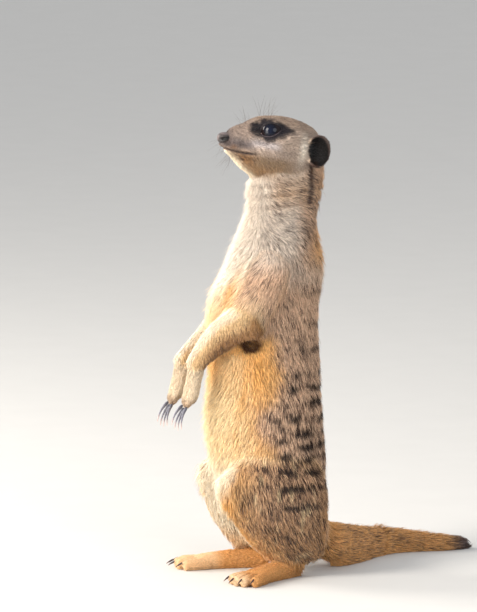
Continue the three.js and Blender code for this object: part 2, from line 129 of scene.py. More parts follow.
# Hair colours, as screen values from 0 to 255.
WHITE = (240, 230, 214)
CREAM = (246, 220, 174)
OCHRE = (238, 174, 86)
TAN = (224, 176, 120)
GREY_TAN = (222, 186, 156)
RUMP = (178, 128, 80)
BROWN = (132, 90, 54)
# Painted shade, for the hollow under each elbow and the crease below each ear.
HOLLOW_SHADE = (78, 46, 20)
PALE_GREY = (222, 206, 190)
CROWN = (180, 156, 136)
FACE = (178, 158, 142)
JAW = (156, 131, 104)
MUZZLE = (112, 101, 98)
UNDER_EYE = (190, 182, 184)
THROAT = (180, 134, 82)
LIP = (88, 72, 68)
DARK = (76, 54, 44)
BAND = (24, 16, 13)
MASK = (33, 28, 32)
NOSE_FUR = (104, 92, 88)
EAR_BLACK = (15, 12, 12)
EAR_BACK = (116, 100, 92)
TAIL = (226, 168, 104)
TAIL_TIP = (112, 90, 84)
FOOT = (216, 158, 96)
TOE = (238, 206, 166)
HAND = (220, 200, 172)


# ---------------- places, from the frame

def box_mm(name):
    low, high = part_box(name)
    return np.array(low) / MM, np.array(high) / MM


def middle(*names):
    return np.mean([np.mean(box_mm(n), axis=0) for n in names], axis=0)


PITCH = math.radians(10)  # the muzzle points this far above level
LEFT = np.array([1.0, 0.0, 0.0])
FORWARD = np.array([0.0, -math.cos(PITCH), math.sin(PITCH)])
UP = np.array([0.0, math.sin(PITCH), math.cos(PITCH)])
DOWN = np.array([0.0, 0.0, -1.0])
EYE_FORWARD, EYE_UP = 1.3, 8.0  # the eyes, from the point that the head is measured from
HEAD_AT = middle("eye_left", "eye_right") - EYE_FORWARD * FORWARD - EYE_UP * UP
FEET_Y = middle("foot_left", "foot_right")[1]


def from_head(across, forward, up):
    """A point given in the head's own directions, in the frame."""
    return HEAD_AT + across * LEFT + forward * FORWARD + up * UP


def on_head(points):
    """How far each point is from the head's middle plane, and how far forward and up on the head."""
    across, forward, up = ((points - HEAD_AT) @ np.stack([LEFT, FORWARD, UP], axis=1)).T
    return np.abs(across), forward, up


def unit(v):
    return v / np.maximum(np.linalg.norm(v, axis=-1, keepdims=True), 1e-9)


def step(a, b, x):
    """0 up to a, 1 from b on and smooth between them, where b may also lie below a."""
    t = np.clip((x - a) / (b - a), 0, 1)
    return t * t * (3 - 2 * t)


def bump(x, centre, width):
    """1 at the centre, falling off smoothly on both sides."""
    return np.exp(-(((x - centre) / width) ** 2))


CELL_HASH = (73856093, 19349663, 83492791)  # primes that mix a cell's place into one number


def noise(points, size, seed):
    """Smooth noise from -1 to 1 with features about `size` across."""
    p = points / size
    cell = np.floor(p).astype(np.int64)
    f = p - cell
    f = f * f * (3 - 2 * f)
    total = np.zeros(len(points))
    for corner in np.ndindex(2, 2, 2):
        h = np.bitwise_xor.reduce((cell + corner) * CELL_HASH, axis=1) ^ (seed * 2654435)
        h = (h * 1103515245 + 12345) & 0x7FFFFFFF
        h = ((h >> 8) * 22695477 + 1) & 0x7FFFFFFF
        weight = np.prod(np.where(corner, f, 1 - f), axis=1)
        total += weight * ((h >> 7) % 4096 / 2047.5 - 1)
    return total


def linear(colour):
    """A screen colour from 0 to 255 as linear light."""
    c = np.asarray(colour, float) / 255
    return np.where(c <= 0.04045, c / 12.92, ((c + 0.055) / 1.055) ** 2.4)


def mix(a, b, share):
    """Rows part of the way from a to b, by each row's own share."""
    return a + (b - a) * np.asarray(share)[..., None]


def mixed(a, b, share):
    """A screen colour between two others."""
    return tuple(np.array(a) + (np.array(b) - np.array(a)) * share)


def nearest(points, wanted, count=1):
    """For each wanted place, the nearest points' numbers and how far off they are."""
    tree = KDTree(len(points))
    for i, p in enumerate(points):
        tree.insert(p, i)
    tree.balance()
    found = [tree.find_n(p, count) for p in wanted]
    numbers = np.array([[one[1] for one in near] for near in found])
    return numbers, np.array([[one[2] for one in near] for near in found])


# ---------------- meshes

def add_object(name, data):
    obj = bpy.data.objects.new(name, data)
    bpy.context.scene.collection.objects.link(obj)
    return obj


def move_to(mesh, points):
    """Puts the mesh's vertices at points given in millimetres."""
    mesh.vertices.foreach_set("co", (np.asarray(points) * MM).ravel())


def dress(obj, material, slot, *nodes):
    """Makes obj a smooth piece of one material that rides on the body, in place of the nodes."""
    obj.data.polygons.foreach_set("use_smooth", np.full(len(obj.data.polygons), True))
    obj.data.materials.clear()
    obj.data.materials.append(material)
    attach(obj, "root")
    if nodes:
        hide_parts(*nodes)


def new_piece(name, verts, faces, material, slot, *nodes):
    """A piece made from a mesh given in millimetres."""
    mesh = bpy.data.meshes.new(name)
    mesh.vertices.add(len(verts))
    move_to(mesh, verts)
    sizes = np.array([len(f) for f in faces])
    loops = np.concatenate(faces).astype(np.int32)
    mesh.loops.add(len(loops))
    mesh.loops.foreach_set("vertex_index", loops)
    mesh.polygons.add(len(sizes))
    mesh.polygons.foreach_set("loop_start", (np.cumsum(sizes) - sizes).astype(np.int32))
    mesh.update(calc_edges=True)
    mesh.validate()
    obj = add_object(name, mesh)
    dress(obj, material, slot, *nodes)
    return obj


def add_values(mesh, name, values):
    """Stores one value for each vertex, for the materials to read."""
    mesh.attributes.new(name, "FLOAT", "POINT").data.foreach_set("value", values.astype(np.float32))


def add_colours(mesh, colours):
    """Stores the hair's colour for each vertex."""
    rows = np.concatenate([colours, np.ones((len(colours), 1))], axis=1)
    field = mesh.attributes.new("Coat", "FLOAT_COLOR", "POINT")
    field.data.foreach_set("color", rows.astype(np.float32).ravel())


def applied(obj):
    """Replaces obj's mesh by what its modifiers make of it."""
    evaluated = obj.evaluated_get(bpy.context.evaluated_depsgraph_get())
    old, obj.data = obj.data, bpy.data.meshes.new_from_object(evaluated)
    obj.modifiers.clear()
    bpy.data.meshes.remove(old)


def rows_of(items, name, width, kind):
    """One property of a mesh's vertices, edges, triangles or loops, as an array of rows."""
    values = np.empty(len(items) * width, kind)
    items.foreach_get(name, values)
    return values.reshape(-1, width)


class Surface:
    """The vertices, edges and normals of a mesh as arrays, in millimetres."""

    def __init__(self, mesh):
        n = len(mesh.vertices)
        self.points = rows_of(mesh.vertices, "co", 3, float) / MM
        self.a, self.b = rows_of(mesh.edges, "vertices", 2, np.int32).T
        degree = np.bincount(self.a, minlength=n) + np.bincount(self.b, minlength=n)
        self.degree = np.maximum(degree, 1)
        mesh.calc_loop_triangles()
        self.tris = rows_of(mesh.loop_triangles, "vertices", 3, np.int32)

    def around(self, values):
        """Each vertex's mean over its neighbours."""
        n = len(self.points)
        columns = values.reshape(n, -1)
        out = np.empty_like(columns)
        for k, column in enumerate(columns.T):
            out[:, k] = np.bincount(self.a, column[self.b], n) + np.bincount(self.b, column[self.a], n)
        return (out / self.degree[:, None]).reshape(values.shape)

    def spread(self, values, rounds):
        """The field blurred along the surface."""
        for _ in range(rounds):
            values = 0.5 * values + 0.5 * self.around(values)
        return values

    def share_of(self, parts, keys, rounds):
        """1 on the parts that the keys name and 0 elsewhere, blurred along the surface."""
        return self.spread(np.isin(parts, keys).astype(float), rounds)

    def face_normals(self):
        """Each triangle's normal, as long as twice its area."""
        p = self.points[self.tris]
        return np.cross(p[:, 1] - p[:, 0], p[:, 2] - p[:, 0])

    def normals(self):
        n = len(self.points)
        face = self.face_normals()
        total = np.zeros((n, 3))
        for corner in range(3):
            for axis in range(3):
                total[:, axis] += np.bincount(self.tris[:, corner], face[:, axis], n)
        return unit(total)


# ---------------- the skin

@cache
def part_of(node):
    """The row of COAT that a node of flesh belongs to."""
    return max((key for key in COAT if node.startswith(key)), key=len)


def solid_copy(node, grown):
    """A node's closed shape, with its split corners merged and its surface moved out."""
    shape = bmesh.new()
    shape.from_mesh(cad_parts[node].data)
    bmesh.ops.remove_doubles(shape, verts=shape.verts, dist=0.001 * MM)
    shape.normal_update()
    for v in shape.verts:
        v.co += v.normal * grown * MM
    return shape


def mesh_of(name, shape):
    """A bmesh shape as a mesh."""
    mesh = bpy.data.meshes.new(name)
    shape.to_mesh(mesh)
    shape.free()
    return mesh


def joined_flesh():
    """All the flesh as one rough mesh of closed shapes that run into each other."""
    rough = bmesh.new()
    for node in [*FLESH, *CLOSED_OVER]:
        closing = 0 if node in CLOSED_OVER else CLOSING.get(part_of(node), 0)
        shape = solid_copy(node, SEAM + closing)
        if node.startswith("ear_"):
            out = Vector((SIDES[node.removeprefix("ear_")], 1, 1))
            bmesh.ops.translate(shape, verts=shape.verts, vec=Vector(EAR_SHIFT) * out * MM)
        mesh = mesh_of(node + "_copy", shape)
        rough.from_mesh(mesh)
        bpy.data.meshes.remove(mesh)
    return mesh_of("skin", rough)


class Flesh:
    """Tells which node of flesh a point is on."""

    def __init__(self):
        corners, faces, self.owners = [], [], []
        for node in FLESH:
            shape = solid_copy(node, 0)
            start = len(corners)
            corners += [v.co.copy() for v in shape.verts]
            faces += [[start + v.index for v in f.verts] for f in shape.faces]
            self.owners += [node] * len(shape.faces)
            shape.free()
        self.tree = BVHTree.FromPolygons(corners, faces)

    def nodes_at(self, points):
        return [self.owners[self.tree.find_nearest(Vector(p))[2]] for p in points * MM]

    def parts_at(self, points):
        return np.array([part_of(n) for n in self.nodes_at(points)])


def mouth_up(forward):
    """Height of the line between the lips, in the head's own directions."""
    return np.interp(forward, [2, 9, 16, 24, 31], [-8.2, -8.8, -9.4, -8.8, -8.4])


# How far each form of the head is pressed into the node's plain shape, or stands out from it.
MOUTH_IN, UPPER_LIP_OUT, LOWER_LIP_OUT = 0.8, 0.7, 0.5
CHEEK_OUT, BRIDGE_OUT = 0.7, 0.35
SNOUT_SIDE_OUT, SNOUT_TOP_OUT = 0.8, 0.4
NOSE_FRONT_IN, NOSE_SIDE_IN = 0.4, 1.3


def sculpt_head(surface, normals, is_head):
    """Presses in the mouth and the skin round the nose, and raises the lips, cheeks and snout."""
    across, forward, up = on_head(surface.points)
    mouth = mouth_up(forward)
    lips = step(8, 14, forward) * step(33, 28, forward)
    move = -MOUTH_IN * bump(up, mouth, 0.7) * step(6, 11, forward) * step(33, 29, forward)
    move += UPPER_LIP_OUT * bump(up, mouth + 2.2, 1.5) * lips
    move += LOWER_LIP_OUT * bump(up, mouth - 2.1, 1.3) * lips
    move += CHEEK_OUT * bump(across, 17.5, 7) * bump(forward, -3, 8) * bump(up, -5, 5)
    move += BRIDGE_OUT * bump(across, 0, 2.2) * bump(forward, 18, 8) * step(-2, 6, up)
    snout = step(17, 23, forward) * step(27.5, 25, forward)
    sides = SNOUT_SIDE_OUT * step(-10, -6, up) * step(0.5, -1.5, up)
    move += snout * (sides + SNOUT_TOP_OUT * step(0, 2, up))
    move -= NOSE_FRONT_IN * step(25.5, 28, forward) * step(-6.5, -5.0, up)
    beside = NOSE_SIDE_IN * step(24, 26, forward) * step(-6.2, -4.6, up) * step(1.2, -0.6, up)
    move -= beside * step(1.2, 2.8, across)
    surface.points += normals * (move * is_head)[:, None]


GAZE = unit(np.array([0.84, 0.50, 0.16]))  # where the left eye looks: across, forward and up
LID_SLOPE = 0.26  # how much the lids slope down towards the nose
LID_REACH = 6  # how far out from the eyeball the skin is drawn in to it
PRESSED_IN = 0.8  # how far inside the eyeball the skin lies behind the opening


def gaze_axes(side):
    """The eye's own axes in the frame: outwards, along the lids towards the nose, and up."""
    sign = SIDES[side]
    outward = unit(sign * GAZE[0] * LEFT + GAZE[1] * FORWARD + GAZE[2] * UP)
    lids = FORWARD - LID_SLOPE * UP
    along = unit(lids - outward * lids.dot(outward))
    up = np.cross(along, outward) * sign
    return outward, along, up * np.sign(up @ UP)


def eye_centre(side):
    """The middle of an eyeball, which is larger than its node and sits deeper."""
    low, high = box_mm("eye_" + side)
    back = BALL_RADIUS + EYE_DEPTH - (high - low).max() / 2
    return (low + high) / 2 - back * gaze_axes(side)[0]


def wrap_lids(points):
    """Draws the skin over each eyeball, and presses it in behind the opening of the lids."""
    for side in SIDES:
        rel = points - eye_centre(side)
        away = np.maximum(np.linalg.norm(rel, axis=1), 0.1)
        facing, u, v = (rel / away[:, None] * BALL_RADIUS @ np.array(gaze_axes(side)).T).T
        ring = (u / LID_HALF_LENGTH) ** 2
        ring += (np.abs(v) / np.where(v > 0, LID_TOP, LID_BOTTOM)) ** (2 / (1 + LID_POINT))
        open_part = step(1.0, 0.85, ring)
        lid = BALL_RADIUS + LID_DEPTH
        free = np.maximum(step(1.0, 2.4, ring), step(0.55, 0.15, facing / BALL_RADIUS))
        lid = lid + np.maximum(away - lid, 0) * free
        wanted = lid + (BALL_RADIUS - PRESSED_IN - lid) * open_part
        near = (facing > 0) & (away < BALL_RADIUS + LID_REACH)
        points[near] += (rel * ((wanted - away) / away)[:, None])[near]


class EarPlaces:
    """Points as outward, along and up from the middle of an ear."""

    def __init__(self, points, side):
        sign, turn = SIDES[side], math.radians(EAR_TURN)
        rel = points - middle("ear_" + side) - np.array(EAR_SHIFT) * [sign, 1, 1]
        self.outward = np.array([sign * math.cos(turn), -math.sin(turn), 0])
        self.out = rel @ self.outward
        along = rel @ np.array([sign * math.sin(turn), math.cos(turn), 0])
        self.ring = np.hypot(along / EAR_BOWL[0], rel[:, 2] / EAR_BOWL[1])  # 1 on the bowl's rim


def open_ears(points):
    """Presses each ear's bowl into the side of the head, which covers its front half."""
    for side in SIDES:
        ear = EarPlaces(points, side)
        floor = EAR_MOUTH - EAR_BOWL[2] * np.sqrt(np.clip(1 - ear.ring ** 2, 0, 1))
        inside = (ear.ring < 1) & (ear.out > floor) & (ear.out < 9)
        points[inside] += ((floor - ear.out)[:, None] * ear.outward)[inside]


FOLD_HEIGHTS = (243, 251.5, 258.5)
FOLD_DEPTH = 1.3


def fold_depth(points):
    """Soft creases round the front of the neck."""
    y, z = points[:, 1], points[:, 2]
    sag = 3.5 * np.sin((y - y.min()) / 21) + 1.4 * noise(points, 16, 5)
    folds = sum(bump(z + sag, height, 1.3) for height in FOLD_HEIGHTS)
    return FOLD_DEPTH * folds * step(-58, -48, y) * step(262, 256, z) * step(238, 243, z)


ELBOW_HOLLOW, ARM_NOTCH = 7.5, 2.2  # how deep they are


def hollow_depth(points):
    """The hollow under each elbow, and the notch over it, between the arm and the trunk."""
    depth = np.zeros(len(points))
    for side, sign in SIDES.items():
        low, high = box_mm("forearm_" + side)
        x = (low[0] + high[0]) / 2 + 3 * sign
        under = (points - [x, high[1] - 9, low[2] + 18]) * [1, 0.66, 1.3]
        over = (points - [x + 3 * sign, high[1] - 3, high[2] - 2]) * [1, 1, 0.6]
        hollow = ELBOW_HOLLOW * bump(np.linalg.norm(under, axis=1), 0, 5.2)
        notch = ARM_NOTCH * bump(np.linalg.norm(over, axis=1), 0, 3.2)
        depth += hollow + notch
    return depth


def remeshed_flesh():
    """All the flesh as one closed skin, before it is smoothed."""
    skin = add_object("skin", joined_flesh())
    remesh = skin.modifiers.new("remesh", "REMESH")
    remesh.mode = "VOXEL"
    remesh.voxel_size = VOXEL * MM
    applied(skin)
    return skin


def sink_under_coat(surface, parts):
    """Smooths the skin, and draws it in by what its nodes were grown and by the coat's depth."""
    soft = surface.spread(np.array([SMOOTHING.get(p, 1.0) for p in parts]), BLEND)
    grown = surface.spread(np.array([CLOSING.get(p, 0.0) for p in parts]), BLEND)
    height = surface.points[:, 2].copy()
    sole = height < SOLE
    for _ in range(SMOOTH_ROUNDS):
        surface.points += (0.5 * soft)[:, None] * (surface.around(surface.points) - surface.points)
    depth = surface.spread(np.array([COAT[p][DEPTH] for p in parts]), DEPTH_BLEND)
    facing = surface.spread(surface.normals(), 20)
    fringe = FRINGE_DEPTH * step(0.55, 0.85, -facing[:, 1])
    depth += fringe * surface.share_of(parts, TRUNK, 20)
    depth *= step(0.0, 4.0, surface.points[:, 2])
    normals = unit(surface.spread(surface.normals(), 6))
    surface.points -= normals * (depth + grown + SEAM)[:, None]
    surface.points[sole, 2] = np.maximum(height[sole], 0) * 0.5
    return normals


def thin_out(skin, fine):
    """Joins up small triangles, and fewer of them where the skin is fine."""
    keep = skin.vertex_groups.new(name="keep")
    levels = np.floor(np.clip(fine, 0, 0.999) * KEEP_LEVELS).astype(int)
    for level in range(KEEP_LEVELS):
        chosen = np.nonzero(levels == level)[0]
        keep.add(chosen.tolist(), 1 - 0.8 * level / (KEEP_LEVELS - 1), "REPLACE")
    thin = skin.modifiers.new("thin", "DECIMATE")
    thin.ratio = SKIN_SHARE
    thin.vertex_group = "keep"
    thin.vertex_group_factor = 1.0
    applied(skin)
    skin.vertex_groups.clear()


def soften_joins(surface, parts):
    """Lets the limbs and the tail run into the trunk without a ledge."""
    for limb, trunk, rounds in JOINS:
        a = surface.share_of(parts, limb, 24)
        b = surface.share_of(parts, trunk, 24)
        share = 0.5 * step(0.0, 0.4, 4 * a * b)[:, None]
        for _ in range(rounds):
            surface.points += share * (surface.around(surface.points) - surface.points)


def build_skin():
    """The skin, its arrays, and each vertex's node."""
    skin, flesh = remeshed_flesh(), Flesh()
    surface = Surface(skin.data)
    parts = flesh.parts_at(surface.points)
    normals = sink_under_coat(surface, parts)
    sculpt_head(surface, normals, surface.share_of(parts, HEAD, 8))
    open_ears(surface.points)
    wrap_lids(surface.points)
    surface.points -= normals * (fold_depth(surface.points) + hollow_depth(surface.points))[:, None]
    move_to(skin.data, surface.points)
    thin_out(skin, surface.share_of(parts, (*HEAD, "hand", "foot", "ear"), 10))
    surface = Surface(skin.data)
    nodes = flesh.nodes_at(surface.points)
    soften_joins(surface, np.array([part_of(n) for n in nodes]))
    move_to(skin.data, surface.points)
    return skin, surface, nodes


# ---------------- fields on the skin

class Fields:
    """What the coat needs to know at each vertex of the skin."""

    def __init__(self, surface, nodes):
        self.surface = surface
        self.points = surface.points
        self.normals = unit(surface.spread(surface.normals(), 3))
        self.nodes = np.array(nodes)
        self.parts = np.array([part_of(n) for n in nodes])
        self.near = {key: surface.share_of(self.parts, key, 4) for key in COAT}
        self.weights = {key: surface.spread(self.near[key], 10) for key in COAT}
        self.dorsal = self.find_dorsal()
        self.lie = self.find_lie()
        self.outer = self.normals[:, 0] * np.sign(self.points[:, 0])
        # How concave the skin is, which the markings use for painted shade between toes and fingers.
        bend = ((surface.around(self.points) - self.points) * surface.normals()).sum(1)
        self.cavity = np.clip(surface.spread(bend, 2) / 0.05, 0, 1)
        self.hollow = hollow_depth(self.points + 5.5 * self.normals)
        self.fold = np.clip(fold_depth(self.points), 0, 1)
        self.fore = self.find_fore()
        self.bowl = self.find_bowl()
        self.fringe = self.find_fringe()
        self.length_share = self.find_length_share()

    def weight(self, *keys):
        return sum(self.weights[k] for k in keys)

    def row(self, column, rounds=0):
        """One column of COAT as a field."""
        return self.surface.spread(sum(self.weights[k] * COAT[k][column] for k in COAT), rounds)

    def for_markings(self):
        """The fields that the hair's colours depend on, by name."""
        names = ("dorsal", "outer", "cavity", "hollow", "fold", "fore", "bowl")
        leg = np.clip(self.weight("thigh", "shank"), 0, 1)
        return {**self.near, "leg": leg, **{name: getattr(self, name) for name in names}}

    def find_dorsal(self):
        """-1 at the animal's front and 1 along its spine, for the trunk and thighs."""
        y, z = self.points[:, 1], self.points[:, 2]
        trunk = np.isin(self.parts, TRUNK)
        heights = np.arange(12, 276, 8.0)
        slices = [y[trunk & (np.abs(z - height) < 6)] for height in heights]
        low = np.interp(z, heights, [s.min() for s in slices])
        high = np.interp(z, heights, [s.max() for s in slices])
        place = np.clip((2 * y - low - high) / (high - low), -1, 1)
        return self.surface.spread(0.6 * place + 0.4 * self.normals[:, 1], 6)

    def find_lie(self):
        """The direction that the hair lies in: along the surface, and smooth from part to part."""
        laid = [(self.parts == key, direction) for key, direction in self.middle_lie().items()]
        for side in SIDES:
            on_side = np.char.find(self.nodes, side) >= 0
            limbs = self.limb_lie(side).items()
            laid += [(on_side & (self.parts == key), direction) for key, direction in limbs]
        lie = np.tile(DOWN, (len(self.points), 1))
        for chosen, direction in laid:
            lie[chosen] = direction if direction.ndim == 1 else direction[chosen]
        for _ in range(5):
            lie = self.surface.spread(lie, 8)
            lie = unit(lie - (lie * self.normals).sum(1)[:, None] * self.normals)
        return lie

    def middle_lie(self):
        """The lie on the head, trunk and tail."""
        low = step(4, -10, on_head(self.points)[2])[:, None]
        front = step(-0.25, -0.75, self.dorsal)[:, None]
        flank = (step(-0.9, -0.4, self.dorsal) * step(0.9, 0.5, self.dorsal))[:, None]
        high = step(205, 240, self.points[:, 2])[:, None]
        chest = DOWN + [0, 0.18, 0] * (1 - front) - [0, 0.15, 0] * front + [0, 0.9, 0] * high * flank
        root, mid, tip = (middle(f"tail_{i}") for i in (1, 2, 3))
        return {
            "head": -FORWARD * (1 - 0.45 * low) - UP * 0.75 * low,
            "lower_jaw": -FORWARD - 0.55 * UP,
            "neck": DOWN * (1 - 0.3 * high * flank) + [0, 1.5, 0] * high * flank,
            "chest": chest,
            "belly": DOWN - [0, 0.35, 0] * step(0.2, -0.5, self.dorsal)[:, None],
            "tail_1": unit(mid - root),
            "tail_2": unit(tip - root),
            "tail_3": unit(tip - mid),
        }

    def limb_lie(self, side):
        """The lie on one side's ear, arm and leg."""
        p = self.points
        upper, fore = middle("upper_arm_" + side), middle("forearm_" + side)
        hand, claw = middle("hand_" + side), middle(f"hand_claw_{side}_2")
        toes = middle(*(f"foot_claw_{side}_{i}" for i in range(1, 5)))
        return {
            "ear": unit(p - (middle("ear_" + side) - [0, 7, 4])) + 0.5 * FORWARD * -1,
            "upper_arm": unit(fore - upper + [0, 0, -8]),
            "forearm": 0.5 * unit(hand - fore) + [0, 0.5, -0.55],
            "hand": unit(claw - hand),
            "thigh": DOWN + [0, 0.15, 0] + [0, 0.55, 0] * step(55, 25, p[:, 2])[:, None],
            "shank": DOWN + [0, 0.4, 0],
            "foot": unit(toes - middle("shank_" + side) * [1, 1, 0]),
        }

    def find_fore(self):
        """1 along the upper edge of each forearm and -1 along its lower edge."""
        fore = np.zeros(len(self.points))
        for side in SIDES:
            along = unit((middle("hand_" + side) - middle("forearm_" + side)) * [0, 1, 1])
            chosen = self.nodes == "forearm_" + side
            fore[chosen] = self.normals[chosen] @ np.array([0, along[2], -along[1]])
        return self.surface.spread(fore, 4)

    def find_bowl(self):
        """1 inside the bowl of each ear, and 0 on its rim and back."""
        bowl = np.zeros(len(self.points))
        for side in SIDES:
            ear = EarPlaces(self.points, side)
            deep = step(EAR_MOUTH + 1.5, EAR_MOUTH, ear.out) * step(-4.5, -4.0, ear.out)
            facing = step(-0.3, 0.1, self.normals @ ear.outward)
            bowl = np.maximum(bowl, step(1.12, 0.98, ear.ring) * deep * facing)
        return self.surface.spread(bowl, 1)

    def find_fringe(self):
        """Where the coat stands out from the body: down its front, on the knees and the nape."""
        z = self.points[:, 2]
        front = step(-0.45, -0.9, self.dorsal) * np.clip(self.weight(*TRUNK), 0, 1)
        knee = self.weight("thigh") * step(-68, -77, self.points[:, 1]) * step(25, 40, z)
        nape = self.weight("chest", "neck") * step(0.7, 0.95, self.dorsal) * bump(z, 214, 16)
        return np.clip(front * step(20, 60, z) + 0.8 * knee + 0.7 * nape, 0, 1)

    def find_length_share(self):
        """How long the hair is against its row in COAT: short on the muzzle and round the eyes."""
        y, z = self.points[:, 1], self.points[:, 2]
        forward = on_head(self.points)[1]
        face = np.clip(self.weight(*HEAD), 0, 1)
        share = 1 - 0.55 * step(4, 18, forward) * face - 0.2 * step(21, 26, forward) * face
        share *= 1 - 0.45 * self.near["foot"] * step(FEET_Y, FEET_Y - 16, y)
        share *= 1 + 0.8 * self.near["foot"] * step(FEET_Y + 14, FEET_Y + 34, y)
        for side in SIDES:
            away = np.linalg.norm(self.points - eye_centre(side), axis=1)
            share *= 1 - 0.5 * step(15, 10, away) - 0.25 * step(9.6, 8.4, away)
        by_ear = np.clip(3 * self.surface.share_of(self.parts, "ear", 60), 0, 1)
        share *= 1 - 0.6 * by_ear * (self.parts != "ear")
        share *= 1 - 0.45 * step(1, 5, self.hollow)
        share *= 1 + 0.9 * self.weight("thigh") * step(-68, -78, y) * bump(z, 82, 18)
        share *= 1 + 0.35 * self.weight("shank") * step(34, 22, z)
        return share * (1 - 0.5 * self.bowl)


# ---------------- markings

# Heights are in millimetres over the ground: the knees are near 55, the top of the thighs 82, the
# waist 120, the shoulders 217 and the crown 302. Forward is -Y, and the nose is near -78. `dorsal`
# runs from -1 down the animal's front to 1 along its spine. On the head, up and forward are counted
# from HEAD_AT. noise() takes the size of its patches and a seed of its own.

# The front edge of the thigh, as heights and how far along each lies.
THIGH_FRONT = ((13.7, 24.6, 42, 62, 80), (-56, -71.6, -84.3, -87, -76))
BAND_HEIGHTS = (38, 50, 61, 70, 79, 88, 96.5, 105, 114, 123, 133, 149, 167, 186)


def band_strength(points, dorsal):
    """Dark broken cross bands over the back, closer together towards the rump."""
    y, z = points[:, 1], points[:, 2]
    drift = 2.0 * noise(points, 15, 21) + 1.2 * noise(points, 6, 22) + 0.06 * (y + 25)
    total = np.zeros(len(points))
    for height in BAND_HEIGHTS:
        strength = np.interp(height, [38, 100, 135, 152, 190], [1.0, 0.95, 0.85, 0.38, 0.2])
        width = np.interp(height, [40, 150], [1.9, 2.1])
        total = np.maximum(total, strength * bump(z + drift, height, width))
    dashes = noise(points * [0.7, 0.7, 1.5], 6, 23) + 0.5 * noise(points, 3, 24)
    broken = 0.06 + 0.94 * step(-0.25, 0.3, dashes + 0.3 * dorsal)
    reach = np.interp(z, [40, 110, 190], [-0.4, -0.2, 0.25])
    return total * broken * step(reach, reach + 0.5, dorsal)


def eye_patch(points):
    """The dark mask round each eye."""
    across, forward, up = on_head(points)
    top = np.interp(forward, [-12.5, -9, -2.3, 6, 14], [10.6, 12.4, 14.6, 14.6, 10.6])
    bottom = np.interp(forward, [-12.5, -7.5, -3, -0.1, 4.5, 8, 14], [9.4, 6.3, 4.4, 1.7, 0.7, 2.7, 5.0])
    inside = np.minimum(np.minimum(top - up, up - bottom), np.minimum(forward + 12.8, 14.2 - forward))
    return step(-2.2, 2.6, inside + 1.2 * noise(points, 3, 41)) * step(3.2, 7.0, across)


